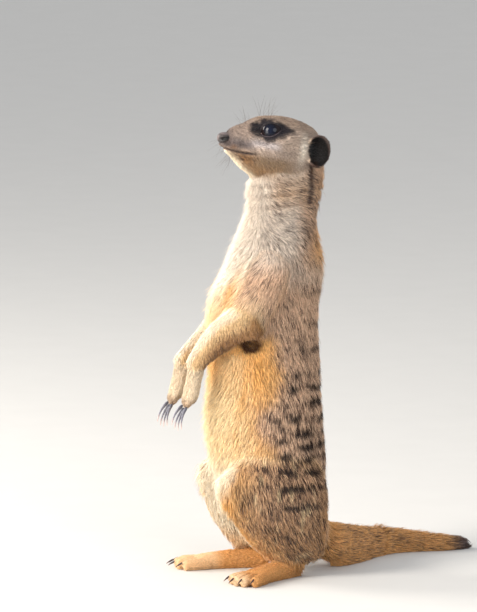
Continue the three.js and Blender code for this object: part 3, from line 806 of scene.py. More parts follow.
class Markings:
    """The light and dark hair colours at each point, and the share of dark hair, painted in turn."""

    def __init__(self, points, f):
        self.points, self.f = points, f
        self.dorsal = f["dorsal"] + 0.10 * noise(points, 13, 31)
        self.light = np.tile(linear(CREAM), (len(points), 1))
        self.dark = np.tile(linear(DARK), (len(points), 1))
        self.share = np.full(len(points), 0.03)
        self.trunk = np.clip(f["neck"] + f["chest"] + f["belly"], 0, 1)
        self.head = np.clip(f["head"] + f["lower_jaw"] + 0.5 * f["ear"], 0, 1)
        self.thigh_edge = points[:, 1] - np.interp(points[:, 2], *THIGH_FRONT)
        self.outside = step(-0.05, 0.4, f["outer"])
        self.outer_leg = self.outside * step(2, 10, self.thigh_edge)
        for paint_part in (self.front, self.shoulders, self.arms, self.legs, self.feet_and_tail,
                           self.bands, self.creases, self.face, self.throat, self.mask, self.ears):
            paint_part()
        self.light, self.share = np.clip(self.light, 0, 1), np.clip(self.share, 0, 1)

    def paint(self, colour, amount, dark_share=None):
        """Paints the light hair, and sets how much of the hair is dark."""
        amount = np.clip(amount, 0, 1)
        self.light = mix(self.light, linear(colour), amount)
        if dark_share is not None:
            self.share = self.share + (dark_share - self.share) * amount

    def darken(self, colour, amount):
        """Paints the dark hair."""
        self.dark = mix(self.dark, linear(colour), np.clip(amount, 0, 1))

    def speckle(self, mean, spread):
        """A share of dark hair that changes from tuft to tuft."""
        return mean + spread * noise(self.points, 3, 35)

    def front(self):
        """The belly, its sides and the lower back."""
        z, dorsal, trunk, paint = self.points[:, 2], self.dorsal, self.trunk, self.paint
        paint(OCHRE, trunk * step(-0.9, -0.5, dorsal) * step(60, 95, z) * step(190, 170, z) * 0.65, 0.06)
        paint(OCHRE, trunk * step(0.15, -0.4, dorsal) * bump(z, 140, 18) * 0.7, 0.06)
        paint(OCHRE, trunk * bump(dorsal, -0.65, 0.25) * bump(z, 178, 16) * 0.5, 0.04)
        streaks = noise(self.points * [1, 1, 0.35], 7, 36)
        belly = trunk * step(-0.1, 0.5, streaks) * step(-0.2, -0.5, dorsal)
        paint(CREAM, belly * step(165, 150, z) * 0.5)
        turn = dorsal + np.interp(z, [85, 102, 118, 135, 160], [0.0, 0.25, 0.0, -0.2, 0.0])
        paint(mixed(TAN, OCHRE, 0.25), step(-0.4, -0.05, turn) * trunk, 0.12)
        paint(GREY_TAN, step(-0.25, 0.1, turn) * trunk, self.speckle(0.25, 0.16))
        paint(GREY_TAN, trunk * step(-0.6, -0.2, dorsal) * bump(z, 101, 13) * 0.6, 0.25)

    def shoulders(self):
        """The chest, the shoulders and the nape."""
        (x, y, z), dorsal, paint = self.points.T, self.dorsal, self.paint
        paint(WHITE, self.trunk * step(-0.55, -0.9, dorsal) * step(165, 200, z), 0.0)
        upper = self.trunk * step(185, 215, z)
        paint(mixed(WHITE, PALE_GREY, 0.6), upper, 0.06)
        paint(PALE_GREY, upper * step(-0.7, -0.35, dorsal), 0.20)
        paint(GREY_TAN, upper * step(0.1, 0.6, dorsal), self.speckle(0.27, 0.14))
        patch = 0.9 * bump(y, -74.0 + 0.25 * (z - 191), 6.5) * bump(z, 191, 14) * step(8, 14, np.abs(x))
        paint(OCHRE, (self.trunk + self.f["upper_arm"]) * patch, 0.02)
        paint(OCHRE, upper * step(0.4, 1.0, dorsal) * bump(z, 210, 16) * 0.6, 0.12)
        nape = self.f["neck"] * bump(z, 252, 9) * step(-0.75, -0.3, dorsal)
        paint(mixed(TAN, GREY_TAN, 0.5), nape * 0.6, 0.3)

    def arms(self):
        """The arms, with a painted highlight along each forearm's upper edge and painted shade under it,
        and the hands with darker fingertips.
        """
        (x, y, z), f, paint = self.points.T, self.f, self.paint
        upper, forearm = f["upper_arm"], f["forearm"]
        paint(GREY_TAN, upper, 0.20)
        paint(PALE_GREY, upper * step(195, 215, z), 0.20)
        paint(CREAM, upper * step(195, 170, z) * step(-50, -62, y) * 0.6, 0.15)
        paint(mixed(CREAM, TAN, 0.35), forearm, 0.14)
        behind = forearm * step(0.5, -0.2, f["fore"]) * step(-104, -84, y)
        paint(mixed(TAN, BROWN, 0.4), behind, 0.22)
        # Painted highlight along the forearm's upper edge, and painted shade along its lower edge.
        paint(WHITE, forearm * step(0.4, 0.8, f["fore"]) * 0.7, 0.03)
        paint(BROWN, forearm * step(-0.35, -0.85, f["fore"]) * 0.7, 0.25)
        paint(HAND, f["hand"], 0.08)
        ends = np.where(x > 0, box_mm("hand_left")[0][2], box_mm("hand_right")[0][2])
        paint(mixed(BROWN, PALE_GREY, 0.35), f["hand"] * step(ends + 9, ends + 2, z) * 0.75, 0.3)

    def legs(self):
        """The legs, pale inside, and pale in front partly as a painted highlight, a painted golden
        highlight on the thigh's front edge, and the pale lower belly between them.
        """
        y, z, paint = self.points[:, 1], self.points[:, 2], self.paint
        leg, outer, edge = self.f["leg"], self.outer_leg, self.thigh_edge
        low = self.trunk * step(85, 60, z) * step(-0.35, -0.6, self.dorsal)
        pale = mixed(WHITE, CREAM, 0.3)
        paint(CREAM, np.clip(leg + low, 0, 1), 0.03)
        # The front of the legs and the lower belly: pale fur, lightened further as a painted highlight.
        paint(pale, np.clip(leg + low, 0, 1) * step(-30, -58, y) * 0.9, 0.0)
        paint(pale, leg * step(0.15, -0.25, self.f["outer"]) * 0.9, 0.0)
        behind = self.outside * step(4, 32, edge + 7 * noise(self.points, 9, 33))
        paint(TAN, leg * outer, 0.16)
        paint(mixed(GREY_TAN, RUMP, 0.3), leg * behind, self.speckle(0.38, 0.14))
        paint(mixed(TAN, BROWN, 0.35), leg * behind * step(55, 20, z) * 0.7, 0.36)
        streaks = step(0.25, 0.7, noise(self.points * [1, 1, 0.35], 4, 34))
        paint(CREAM, leg * outer * streaks * 0.75)
        # Painted highlight: a golden line along the lower front edge of the outer leg, where it would
        # catch the light.
        paint(OCHRE, leg * self.outside * bump(edge, 5.0, 4.0) * step(66, 46, z), 0.03)
        paint(mixed(RUMP, TAN, 0.5), leg * step(-30, -10, y) * step(70, 40, z) * 0.6, 0.26)

    def feet_and_tail(self):
        """The feet with pale toes, painted shade where the feet and hands are concave, the ankles, and
        the tail with its dark tip.
        """
        y, z, f, paint = self.points[:, 1], self.points[:, 2], self.f, self.paint
        paint(FOOT, f["foot"], 0.10)
        toes = f["foot"] * step(FEET_Y - 6, FEET_Y - 16, y)
        paint(TOE, toes * (0.75 + 0.25 * f["outer"]), 0.04)
        paint(mixed(FOOT, CREAM, 0.35), f["shank"] * step(30, 16, z) * 0.7, 0.12)
        # Painted shade: brown where the feet and hands are concave, as between the toes and fingers.
        paint(BROWN, (f["foot"] + f["hand"]) * f["cavity"] * 0.4, 0.3)
        paint(TAIL, np.clip(f["tail_1"] + f["tail_2"] + f["tail_3"], 0, 1), 0.22)
        paint(TAIL_TIP, step(94, 107, y), 0.6)

    def bands(self):
        """The back's bands, which are fainter on the front of the thigh."""
        leg = self.f["leg"]
        stripe = band_strength(self.points, self.f["dorsal"])
        stripe = stripe * np.clip(self.trunk + leg * self.outer_leg, 0, 1)
        stripe *= 1 - 0.6 * leg * step(-30, -60, self.points[:, 1])
        self.darken(BAND, stripe * 1.3)
        self.share = np.clip(self.share + 1.3 * stripe, 0, 1)

    def creases(self):
        """Painted shade in the hollow under the elbow, golden brown round it and dark brown in its core,
        and in the folds of the neck.
        """
        f = self.f
        # Painted shade in the hollow under each elbow: golden brown round it, then dark brown in its
        # core, in both hair colours.
        self.paint(mixed(OCHRE, BROWN, 0.6), step(0.6, 3.2, f["hollow"]) * 0.8, 0.25)
        hollow = step(3.2, 6.8, f["hollow"])
        self.paint(HOLLOW_SHADE, hollow, 0.5)
        self.darken(HOLLOW_SHADE, hollow)
        # Painted shade: brown in the folds of the neck.
        self.paint(BROWN, f["fold"] * (f["neck"] + self.head) * 0.25, 0.35)

    def face(self):
        """The crown, muzzle, jaw and cheeks."""
        head, paint = self.head, self.paint
        across, forward, up = on_head(self.points)
        paint(FACE, head, 0.10)
        spot = np.sqrt((forward + 5.0) ** 2 + (up + 10.2) ** 2)
        paint(BROWN, head * bump(spot, 0, 1.6) * 0.6, 0.5)
        paint(CROWN, head * step(8, 15, up) * step(18, 8, forward), 0.22)
        bridge = head * step(9, 16, forward) * step(-2, 3, up)
        paint(mixed(CROWN, MUZZLE, 0.4), bridge * 0.9, 0.18)
        paint(MUZZLE, head * step(7, 15, forward) * bump(up, -3.5, 4.2), 0.2)
        paint(JAW, head * step(-7, -12, up) * step(3, 6, across) * step(-22, -8, forward), 0.12)
        cheek = head * bump(forward, -20, 2.5) * bump(up, -1, 9) * step(13, 17, across)
        paint(WHITE, cheek * 0.8, 0.03)
        under_eye = head * step(16, 9, forward) * step(-8, 0, forward) * bump(up, -1.5, 2.8)
        paint(UNDER_EYE, under_eye * 0.65, 0.08)

    def throat(self):
        """The pale chin, and the golden brown throat on both sides of it."""
        paint = self.paint
        across, forward, up = on_head(self.points)
        below_jaw = self.head * step(4, 14, forward) * bump(up, -13, 3.8) * step(1.5, 3, across)
        paint(mixed(JAW, BROWN, 0.65), below_jaw, 0.42)
        chin = self.head * self.f["lower_jaw"] * step(8.0, 0.5, across)
        paint(mixed(WHITE, CREAM, 0.4), chin, 0.03)
        middle_up = np.interp(forward, [-21, 6.5, 17], [-19, -20.5, -14])
        throat = bump(up, middle_up - 0.5, 5.0) * step(24, 15, forward) * step(3, 10, across)
        strength = np.interp(forward, [-21, 0, 10], [0.3, 0.55, 0.75])
        throat *= strength * (0.75 + 0.5 * noise(self.points, 5, 42))
        paint(mixed(THROAT, BROWN, 0.15), np.clip(self.head + self.f["neck"], 0, 1) * throat, 0.24)

    def mask(self):
        """The masks round the eyes, the lips and the fur behind the nose."""
        head, paint = self.head, self.paint
        across, forward, up = on_head(self.points)
        mask = head * eye_patch(self.points)
        paint(MASK, mask, 0.95)
        self.darken(MASK, mask * 1.4)
        lips = head * bump(up, mouth_up(forward), 0.9) * step(7, 12, forward) * step(33, 30, forward)
        paint(LIP, lips * 0.9, 0.6)
        paint(BROWN, head * bump(up, -6.2, 1.6) * bump(forward, 24, 3) * step(2, 4, across) * 0.6)
        snout = head * step(22.5, 27.5, forward) * step(-8.0, -5.5, up)
        paint(NOSE_FUR, snout * 0.85, 0.5)
        self.darken(MASK, np.clip(lips + snout, 0, 1))

    def ears(self):
        """Dark bowls with brown backs, and a painted shadow streak in the crease below each ear."""
        x, y, z = self.points.T
        self.paint(EAR_BACK, step(0.4, 0.7, self.f["ear"]), 0.25)
        self.paint(EAR_BLACK, self.f["bowl"], 0.95)
        self.darken(EAR_BLACK, self.f["bowl"])
        # Painted shadow: a dark brown streak where the side of the neck meets the nape, below each ear.
        streak = bump(y, -18.5 + 0.06 * (z - 256), 1.7) * step(242, 248, z) * step(276, 270, z)
        self.paint(HOLLOW_SHADE, streak * step(8, 12, np.abs(x)), 0.8)


# ---------------- the coat

def carry(values, corners, share):
    """A field at places that each lie among three vertices, by how much each of those counts."""
    picked = values[corners]
    return (picked * (share if picked.ndim == 2 else share[:, :, None])).sum(1)


class Roots:
    """Places on the skin that tufts grow from, with every field carried over to them."""

    def __init__(self, fields, density, rng, uv):
        s = fields.surface
        area = np.linalg.norm(s.face_normals(), axis=1) / 2
        expected = area * density[s.tris].mean(1)
        count = np.floor(expected + rng.random(len(expected))).astype(int)
        face = np.repeat(np.arange(len(area)), count)
        r = rng.random((len(face), 2))
        flip = r.sum(1) > 1
        r[flip] = 1 - r[flip]
        self.share = np.stack([1 - r.sum(1), r[:, 0], r[:, 1]], axis=1)
        self.corners = s.tris[face]
        self.uv = (uv[face] * self.share[:, :, None]).sum(1)
        self.points = self.carry(s.points)
        self.normals = unit(self.carry(fields.normals))
        self.lie = unit(self.carry(fields.lie))
        self.parts = fields.parts[self.corners[:, 0]]

    def carry(self, values):
        return carry(values, self.corners, self.share)


def tuft_faces(rings):
    """The triangles of one tuft: its root's end, its sides and the fan at its tip."""
    faces = [(0, 2, 1)]
    for a in range(0, 3 * rings - 3, 3):
        b = a + 3
        for k in range(3):
            j = (k + 1) % 3
            faces += [(a + k, a + j, b + j), (a + k, b + j, b + k)]
    top = 3 * (rings - 1)
    faces += [(top + k, top + (k + 1) % 3, 3 * rings) for k in range(3)]
    return np.array(faces)


def build_tufts(name, r, chosen, rings):
    """One mesh of tapered three-sided tufts at the chosen roots."""
    root, normal, lie = r.points[chosen], r.normals[chosen], r.lie[chosen]
    length, width, rise, curl = (v[chosen] for v in (r.length, r.width, r.rise, r.curl))
    count, size = len(root), rings * 3 + 1
    side = unit(np.cross(lie, normal))
    # Painted shade: each tuft is darker towards its root, down to half as light, as if the coat over it
    # shaded it; pale hair is darkened less.
    root_shade = (0.5 + 0.35 * step(0.35, 0.75, r.colour[chosen].mean(axis=1)))[:, None]
    along = np.linspace(0, 1, rings + 1)
    thickness = np.interp(along, [0, 0.35, 0.7, 1], [0.75, 1.0, 0.72, 0])
    verts, colours, uv = (np.empty((count, size, k)) for k in (3, 3, 2))
    for i, t in enumerate(along):
        sink = ROOT_SINK * (t == 0)
        up = np.sin(rise) * length * (t - curl * t * t) - sink - r.drop[chosen] * t * t
        forward = length * t * np.cos(rise * (1 - 0.5 * t))
        spine = root + lie * forward[:, None] + normal * up[:, None]
        spine += r.pull[chosen] * t ** 1.5
        colour = mix(r.colour[chosen] * root_shade, r.colour[chosen], np.full(count, min(1, 0.15 + 1.7 * t)))
        colour = mix(colour, r.tip_colour[chosen], np.full(count, max(0, 1.8 * (t - 0.45))))
        if i == rings:
            verts[:, -1], colours[:, -1] = spine, colour
            uv[:, -1] = r.uv[chosen] + [0, PATCH / 2]
            break
        half = (0.5 * width * thickness[i])[:, None]
        for corner, (sideways, upward) in enumerate(((-1, 0), (1, 0), (0, 0.8))):
            k = 3 * i + corner
            verts[:, k] = spine + side * half * sideways + normal * half * upward
            colours[:, k] = colour
            uv[:, k] = r.uv[chosen] + [PATCH / 2 * sideways, PATCH * (t - 0.5)]
    verts[:, :, 2] = np.maximum(verts[:, :, 2], GROUND_GAP)
    faces = (tuft_faces(rings)[None] + (np.arange(count) * size)[:, None, None]).reshape(-1, 3)
    piece = new_piece(name, verts.reshape(-1, 3), faces, hair_material(), "fur")
    add_colours(piece.data, colours.reshape(-1, 3))
    layer = piece.data.uv_layers.new(name="OFBake")
    loops = rows_of(piece.data.loops, "vertex_index", 1, np.int32)[:, 0]
    layer.data.foreach_set("uv", uv.reshape(-1, 2)[loops].astype(np.float32).ravel())


def clump_pull(r, rng):
    """How far each tuft's tip is drawn towards the tuft that leads its clump."""
    leaders = np.nonzero(rng.random(len(r.points)) < 1 / CLUMP)[0]
    near = leaders[nearest(r.points[leaders], r.points)[0][:, 0]]
    tip = r.points + r.lie * r.length[:, None]
    gap = tip[near] - tip
    gap -= (gap * r.normals).sum(1)[:, None] * r.normals
    gap -= (gap * r.lie).sum(1)[:, None] * r.lie * 0.6
    size = np.linalg.norm(gap, axis=1)
    limit = 0.35 * r.length
    return gap * (np.minimum(1, limit / np.maximum(size, 1e-6)) * CLUMP_PULL)[:, None]


class Places:
    """The three skin vertices nearest to each of some points, and how much each counts."""

    def __init__(self, fields, points):
        self.points = points
        self.corners, away = nearest(fields.points, points, 3)
        nearness = 1 / (away + 0.1)
        self.share = nearness / nearness.sum(1)[:, None]

    def carry(self, values):
        return carry(values, self.corners, self.share)


def hair_colours(fields, place, chance, tone):
    """Each hair's colour at the given places, the dark colour there and the share of dark hair."""
    given = {key: place.carry(v) for key, v in fields.for_markings().items()}
    marks = Markings(place.points, given)
    doubt = np.sqrt(np.clip(marks.share * (1 - marks.share) * 4, 0, 1))
    pick = step(0.3, 0.7, marks.share + doubt * chance)
    return mix(marks.light, marks.dark, pick) * tone[:, None], marks.dark, marks.share


def shape_hair(r, fields, rng):
    """Sets every tuft's size, lie, rise, curl and pull."""
    count, vary = len(r.points), rng.random
    fringe = r.carry(fields.fringe)
    guard = vary(count) < GUARD_SHARE
    length = fields.row(LENGTH, DEPTH_BLEND) * fields.length_share
    r.length = r.carry(length) * (0.7 + 0.6 * vary(count))
    r.length *= np.where(guard, GUARD_LENGTH, 1)
    r.width = r.carry(fields.row(WIDTH)) * (0.7 + 0.5 * vary(count)) * np.where(guard, GUARD_WIDTH, 1)
    rise = r.carry(fields.row(RISE)) * (0.5 + vary(count))
    r.rise = np.radians(rise + fringe * FRINGE_RISE + guard * GUARD_RISE)
    r.curl = 0.5 - 0.32 * fringe
    swirl = SWIRL * noise(r.points, 9, 51) + SWIRL * (vary(count) - 0.5) * 2
    turn = np.radians(swirl)[:, None]
    side = np.cross(r.normals, r.lie)
    r.lie = unit(r.lie * np.cos(turn) + side * np.sin(turn))
    r.pull = clump_pull(r, rng)


def colour_hair(r, fields, rng):
    """Sets every tuft's colours, and how far it drops with the skin that falls away under it."""
    count, vary = len(r.points), rng.random
    places = [Places(fields, r.points + r.lie * (part * r.length)[:, None]) for part in COLOUR_AT]
    fall = (places[1].carry(fields.normals) * r.lie).sum(1)
    r.drop = np.clip(0.5 * fall, -0.1, 0.35) * r.length
    chance = 0.42 * (2 * vary(count) - 1) + 0.35 * noise(r.points, 3.2, 61)
    tone = 1 + 0.12 * (2 * vary(count) - 1) + 0.07 * noise(r.points, 5, 62)
    r.colour, _, _ = hair_colours(fields, places[0], chance, tone)
    tip, dark, share = hair_colours(fields, places[1], chance, tone * 1.06)
    dark_tip = np.where(vary(count) < 0.35 * np.clip(share * 2, 0, 1), 0.6, 0)
    r.tip_colour = mix(tip, dark, dark_tip)


def grow_coat(fields, uv):
    """All the hair, in pieces that each stay under the limit on triangles."""
    rng = np.random.default_rng(SEED)
    r = Roots(fields, fields.row(DENSITY), rng, uv)
    shape_hair(r, fields, rng)
    colour_hair(r, fields, rng)
    limit = MAX_PIECE_TRIANGLES // len(tuft_faces(RINGS))
    for key in COAT:
        chosen = np.nonzero(r.parts == key)[0]
        pieces = math.ceil(len(chosen) / limit)
        order = chosen[np.argsort(r.points[chosen, 2], kind="stable")]
        for i, part in enumerate(np.array_split(order, pieces)):
            build_tufts(f"coat_{key}" + (f"_{i + 1}" if pieces > 1 else ""), r, part, RINGS)
    return r


# Long hairs of the face: where a group starts and points, across, forward and up on the head,
# how many hairs it has, how long they are and how far they spread.
WHISKERS = {
    "brow": ((8, 4, 15), (0.1, -0.15, 1.0), 6, 17, 0.5),
    "stop": ((5, 15, 9), (0.1, 0.65, 0.8), 5, 12, 0.5),
    "snout": ((5, 24, -4), (0.5, 0.6, -0.5), 9, 16, 0.5),
    "chin": ((4, 20, -12), (0.3, 0.5, -0.8), 9, 15, 0.5),
    "cheek": ((15, 2, -8), (0.8, -0.2, -0.5), 4, 12, 0.5),
    "by_ear": ((16, -20, 5), (0.3, -1.0, 0.15), 3, 14, 0.3),
}
WHISKER_WIDTH = 0.14


class Strands:
    """Long single hairs, each with its root on the skin."""

    def __init__(self, roots, starts, directions, lengths):
        count = len(starts)
        near = nearest(roots.points, starts)[0][:, 0]
        self.points, self.uv = roots.points[near], roots.uv[near]
        self.lie = unit(directions)
        sideways = unit(np.cross(self.lie, -DOWN))
        self.normals = unit(np.cross(sideways, self.lie))
        self.length = lengths
        self.width = np.full(count, WHISKER_WIDTH)
        self.rise = self.curl = np.zeros(count)
        self.drop = 0.10 * lengths
        self.pull = np.zeros((count, 3))
        self.colour = self.tip_colour = np.tile(linear(DARK), (count, 1))


def build_whiskers(roots):
    """The long hairs of both sides of the face, as one piece."""
    rng = np.random.default_rng(SEED + 1)
    starts, directions, lengths = [], [], []
    for start, direction, count, length, spread in WHISKERS.values():
        for sign in (-1, 1):
            for _ in range(count):
                a = np.array(start) + rng.normal(size=3) * 1.6
                d = unit(np.array(direction)) + rng.normal(size=3) * spread * 0.5
                starts.append(from_head(sign * a[0], a[1], a[2]))
                directions.append(sign * d[0] * LEFT + d[1] * FORWARD + d[2] * UP)
                lengths.append(length * (0.6 + 0.5 * rng.random()))
    hairs = Strands(roots, np.array(starts), np.array(directions), np.array(lengths))
    build_tufts("coat_whiskers", hairs, np.arange(len(starts)), WHISKER_RINGS)


# ---------------- materials

class Material:
    """A new material, with short ways to add nodes to it."""

    def __init__(self, name, **inputs):
        self.made = bpy.data.materials.new(name)
        self.made.use_nodes = True
        self.tree = self.made.node_tree
        self.shader = self.tree.nodes["Principled BSDF"]
        self.fill(self.shader, inputs)

    def fill(self, node, values):
        """Sets a node's inputs, whose names begin with a capital, and its own settings.

        An input takes a number, a colour or another node's output. _ stands for a space in its name.
        """
        for name, value in values.items():
            if name[0].islower():
                setattr(node, name, value)
                continue
            socket = node.inputs[name.replace("_", " ")]
            if isinstance(value, bpy.types.NodeSocket):
                self.tree.links.new(value, socket)
            else:
                socket.default_value = value

    def add(self, kind, output, **values):
        """One output of a new node."""
        node = self.tree.nodes.new("ShaderNode" + kind)
        self.fill(node, values)
        return node.outputs[output]

    def place(self):
        return self.add("TexCoord", "Object")

    def field(self, name, output="Fac"):
        """A field that the mesh stores for each vertex."""
        return self.add("Attribute", output, attribute_name=name)

    def grain(self, scale, detail):
        """Noise that is fixed to the object."""
        return self.add("TexNoise", "Fac", Scale=scale, Detail=detail, Vector=self.place())

    def scaled(self, colour, share):
        """The colour, made lighter or darker by the share."""
        return self.add("VectorMath", "Vector", operation="SCALE", Vector=colour, Scale=share)

    def varied(self, colour, grain, low, high):
        """The colour, darker and lighter with the grain."""
        ends = {"From_Min": 0.3, "From_Max": 0.7, "To_Min": low, "To_Max": high}
        return self.scaled(colour, self.add("MapRange", "Result", Value=grain, **ends))

    def plain(self, colour):
        """A colour in linear light, for a grain to vary."""
        node = self.tree.nodes.new("ShaderNodeRGB")
        node.outputs["Color"].default_value = (*colour, 1)
        return node.outputs["Color"]

    def ramp(self, value, stops):
        """Colours that run from stop to stop as the value rises."""
        node = self.tree.nodes.new("ShaderNodeValToRGB")
        self.fill(node, {"Fac": value})
        elements = node.color_ramp.elements
        for position, _ in stops[1:-1]:
            elements.new(position)
        for element, (position, colour) in zip(elements, stops):
            element.position = position
            element.color = (*linear(colour), 1)
        return node.outputs["Color"]

    def relief(self, height, distance, strength, invert=False):
        """Bumps on the surface, with their distance in metres."""
        values = {"invert": invert, "Height": height, "Distance": distance, "Strength": strength}
        self.fill(self.shader, {"Normal": self.add("Bump", "Normal", **values)})

    def colour(self, output):
        """Joins the surface's colour, and gives the finished material."""
        self.fill(self.shader, {"Base_Color": output})
        return self.made


@cache
def hair_material():
    m = Material("hair", Roughness=0.75, Specular_IOR_Level=0.12, Sheen_Weight=0.12, Sheen_Roughness=0.5)
    return m.colour(m.varied(m.field("Coat", "Color"), m.grain(900.0, 2.0), 0.85, 1.15))


def skin_material():
    m = Material("skin", Roughness=0.8, Specular_IOR_Level=0.15)
    grain = m.grain(700.0, 6.0)
    m.relief(grain, 0.0004, 0.8)
    # Painted shade: the skin is drawn between 0.7 of the hair's colour and all of it, varying with the
    # grain, so it is darker as if shaded by the coat over it.
    return m.colour(m.varied(m.field("Coat", "Color"), grain, 0.7, 1.0))


def bare_skin(name, low, high, roughness, gloss):
    """Bare dark skin with a fine grain of bumps, its colour scaled by the painted highlights, reflection
    and shade that the mesh stores as Shade.
    """
    m = Material(name, Roughness=roughness, Specular_IOR_Level=gloss)
    cells = m.add("TexVoronoi", "Distance", Scale=2800.0, Vector=m.place())
    m.relief(cells, 0.0002, 0.6, invert=True)
    return m.colour(m.scaled(m.ramp(cells, ((0, high), (1, low))), m.field("Shade")))


def nose_material():
    return bare_skin("nose_skin", (48, 41, 41), (92, 82, 80), 0.5, 0.35)


@cache
def lid_material():
    return bare_skin("lid_skin", (18, 14, 16), (34, 28, 31), 0.6, 0.2)


@cache
def membrane_material():
    """The wet pink skin at the eye's inner corner."""
    m = Material("membrane", Roughness=0.25)
    return m.colour(m.varied(m.plain(linear((150, 122, 116))), m.grain(1600.0, 3.0), 0.8, 1.1))


@cache
def eye_material():
    """Dark brown iris and a black pupil, tinted blue by a painted reflection, under a wet clear surface.
    """
    m = Material("eye", Roughness=0.06, IOR=1.26)
    # Painted reflection: the pupil is tinted blue, most in its middle, as if it mirrored a blue sky.
    stops = ((0.0, (20, 25, 42)), (0.34, (12, 14, 24)), (0.42, (26, 20, 22)), (0.58, (32, 24, 24)),
             (0.7, (10, 8, 10)), (0.85, (48, 42, 44)))
    return m.colour(m.varied(m.ramp(m.field("Gaze"), stops), m.grain(1500.0, 3.0), 0.6, 1.3))


def horn(name, root, middle_tone, tip):
    """Horn that changes colour from a claw's root to its tip."""
    m = Material(name, Roughness=0.32)
    grain = m.grain(1400.0, 3.0)
    m.relief(grain, 0.0001, 0.4)
    tones = m.ramp(m.field("Along"), ((0, root), (0.65, middle_tone), (1, tip)))
    return m.colour(m.varied(tones, grain, 0.8, 1.15))


@cache
def claw_material():
    """Blue-grey horn that turns pale and pinkish at the tip."""
    return horn("claw", (64, 64, 74), (128, 126, 136), (224, 186, 172))


@cache
def foot_claw_material():
    return horn("foot_claw", (52, 36, 36), (70, 48, 46), (120, 88, 80))


def floor_material():
    m = Material("floor", Roughness=0.9)
    return m.colour(m.varied(m.plain((0.62, 0.60, 0.57)), m.grain(30.0, 4.0), 0.99, 1.01))


# ---------------- eyes, lids, nose and claws

def outward_faces(verts, faces):
    """The faces turned so that the closed shape's volume is positive."""
    verts = np.asarray(verts)
    centre = verts.mean(0)
    volume = 0.0
    for f in faces:
        for i in range(1, len(f) - 1):
            a, b, c = verts[f[0]] - centre, verts[f[i]] - centre, verts[f[i + 1]] - centre
            volume += np.dot(a, np.cross(b, c))
    return faces if volume > 0 else [f[::-1] for f in faces]


def ball_directions(rows, columns):
    """Directions all round, in rows from a pole along the first axis."""
    directions = [(1.0, 0, 0)]
    for i in range(1, rows):
        theta = math.pi * i / rows
        for j in range(columns):
            phi = 2 * math.pi * j / columns
            across = math.sin(theta)
            directions.append((math.cos(theta), across * math.cos(phi), across * math.sin(phi)))
    return np.array([*directions, (-1.0, 0, 0)])


def ball(name, centre, axes, radii, material, slot, *nodes, size=(33, 48), shape=None):
    """A closed ball with its pole along the first axis, shaped by a function of its directions."""
    rows, columns = size
    directions = ball_directions(rows, columns)
    local = directions * radii
    if shape:
        local = shape(directions, local)
    verts = centre + local @ np.stack(axes)
    faces = [(0, 1 + j, 1 + (j + 1) % columns) for j in range(columns)]
    for i in range(rows - 2):
        for j in range(columns):
            a, b = 1 + i * columns + j, 1 + i * columns + (j + 1) % columns
            faces.append((a, a + columns, b + columns, b))
    last = 1 + (rows - 2) * columns
    faces += [(last + (j + 1) % columns, last + j, len(verts) - 1) for j in range(columns)]
    return new_piece(name, verts, outward_faces(verts, faces), material, slot, *nodes), directions


CORNER_RADII = (0.25, 0.6, 0.35)  # of the pink skin at the eye's inner corner
CORNER_AT = (4.6, 6.5, -0.7)  # outwards, along the lids and up from the middle of the eyeball


def build_eye(side):
    """The eyeball, the rim of its lids and the pink skin at their inner corner."""
    axes, centre = gaze_axes(side), eye_centre(side)
    name = "eyeball_" + side
    piece, directions = ball(name, centre, axes, BALL_RADIUS, eye_material(), "eye", "eye_" + side)
    off_gaze = np.arccos(np.clip(directions[:, 0], -1, 1)) / (math.pi / 2) * 1.1
    add_values(piece.data, "Gaze", off_gaze)
    build_lid(side, centre, axes)
    outward, along, up = axes
    out, forward, over = CORNER_AT
    towards = unit(along * forward + up * over + outward * out)
    corner = centre + towards * (BALL_RADIUS + 0.15)
    ball("eye_corner_" + side, corner, axes, CORNER_RADII, membrane_material(), "dark_skin", size=(9, 12))


# The lid's section: how far out from its edge, and how high over the eyeball.
LID_SECTION = ((0.0, 0.02), (0.03, 0.2), (0.15, 0.4), (0.4, 0.52), (0.7, 0.42), (1.0, 0.0),
               (1.1, -0.7), (0.7, -0.8), (0.35, -0.4), (0.1, -0.1))
LID_COLUMNS = 72


def build_lid(side, centre, axes):
    """The bare dark rim round an almond opening, rolled over the eyeball, with a painted reflection along
    the lower lid's edge.
    """
    outward, along, up = axes
    verts, shade, faces = [], [], []
    for out, over in LID_SECTION:
        for j in range(LID_COLUMNS):
            phi = 2 * math.pi * j / LID_COLUMNS
            u = math.cos(phi) * (LID_HALF_LENGTH + out)
            reach = LID_TOP if math.sin(phi) > 0 else LID_BOTTOM
            v = math.sin(phi) * abs(math.sin(phi)) ** LID_POINT * (reach + out)
            flat = along * u + up * v
            depth = math.sqrt(max(BALL_RADIUS ** 2 - u * u - v * v, 0.05))
            verts.append(centre + unit(flat + outward * depth) * (BALL_RADIUS + over))
            # Painted reflection: the lower lid's edge is up to six times lighter, as if its wet edge
            # caught the light.
            shade.append(1 + 5 * float(step(-0.1, -0.9, math.sin(phi))) * float(step(0.5, 0.1, out)))
    for i in range(len(LID_SECTION)):
        row, above = i * LID_COLUMNS, (i + 1) % len(LID_SECTION) * LID_COLUMNS
        for j in range(LID_COLUMNS):
            k = (j + 1) % LID_COLUMNS
            faces.append((row + j, row + k, above + k, above + j))
    rim = new_piece("eyelid_" + side, verts, outward_faces(verts, faces), lid_material(), "dark_skin")
    add_values(rim.data, "Shade", np.array(shade))


NOSE_RADII = (5.0, 4.6, 4.6)
NOSE_BACK = 0.4  # how far the pad's middle lies behind its node's


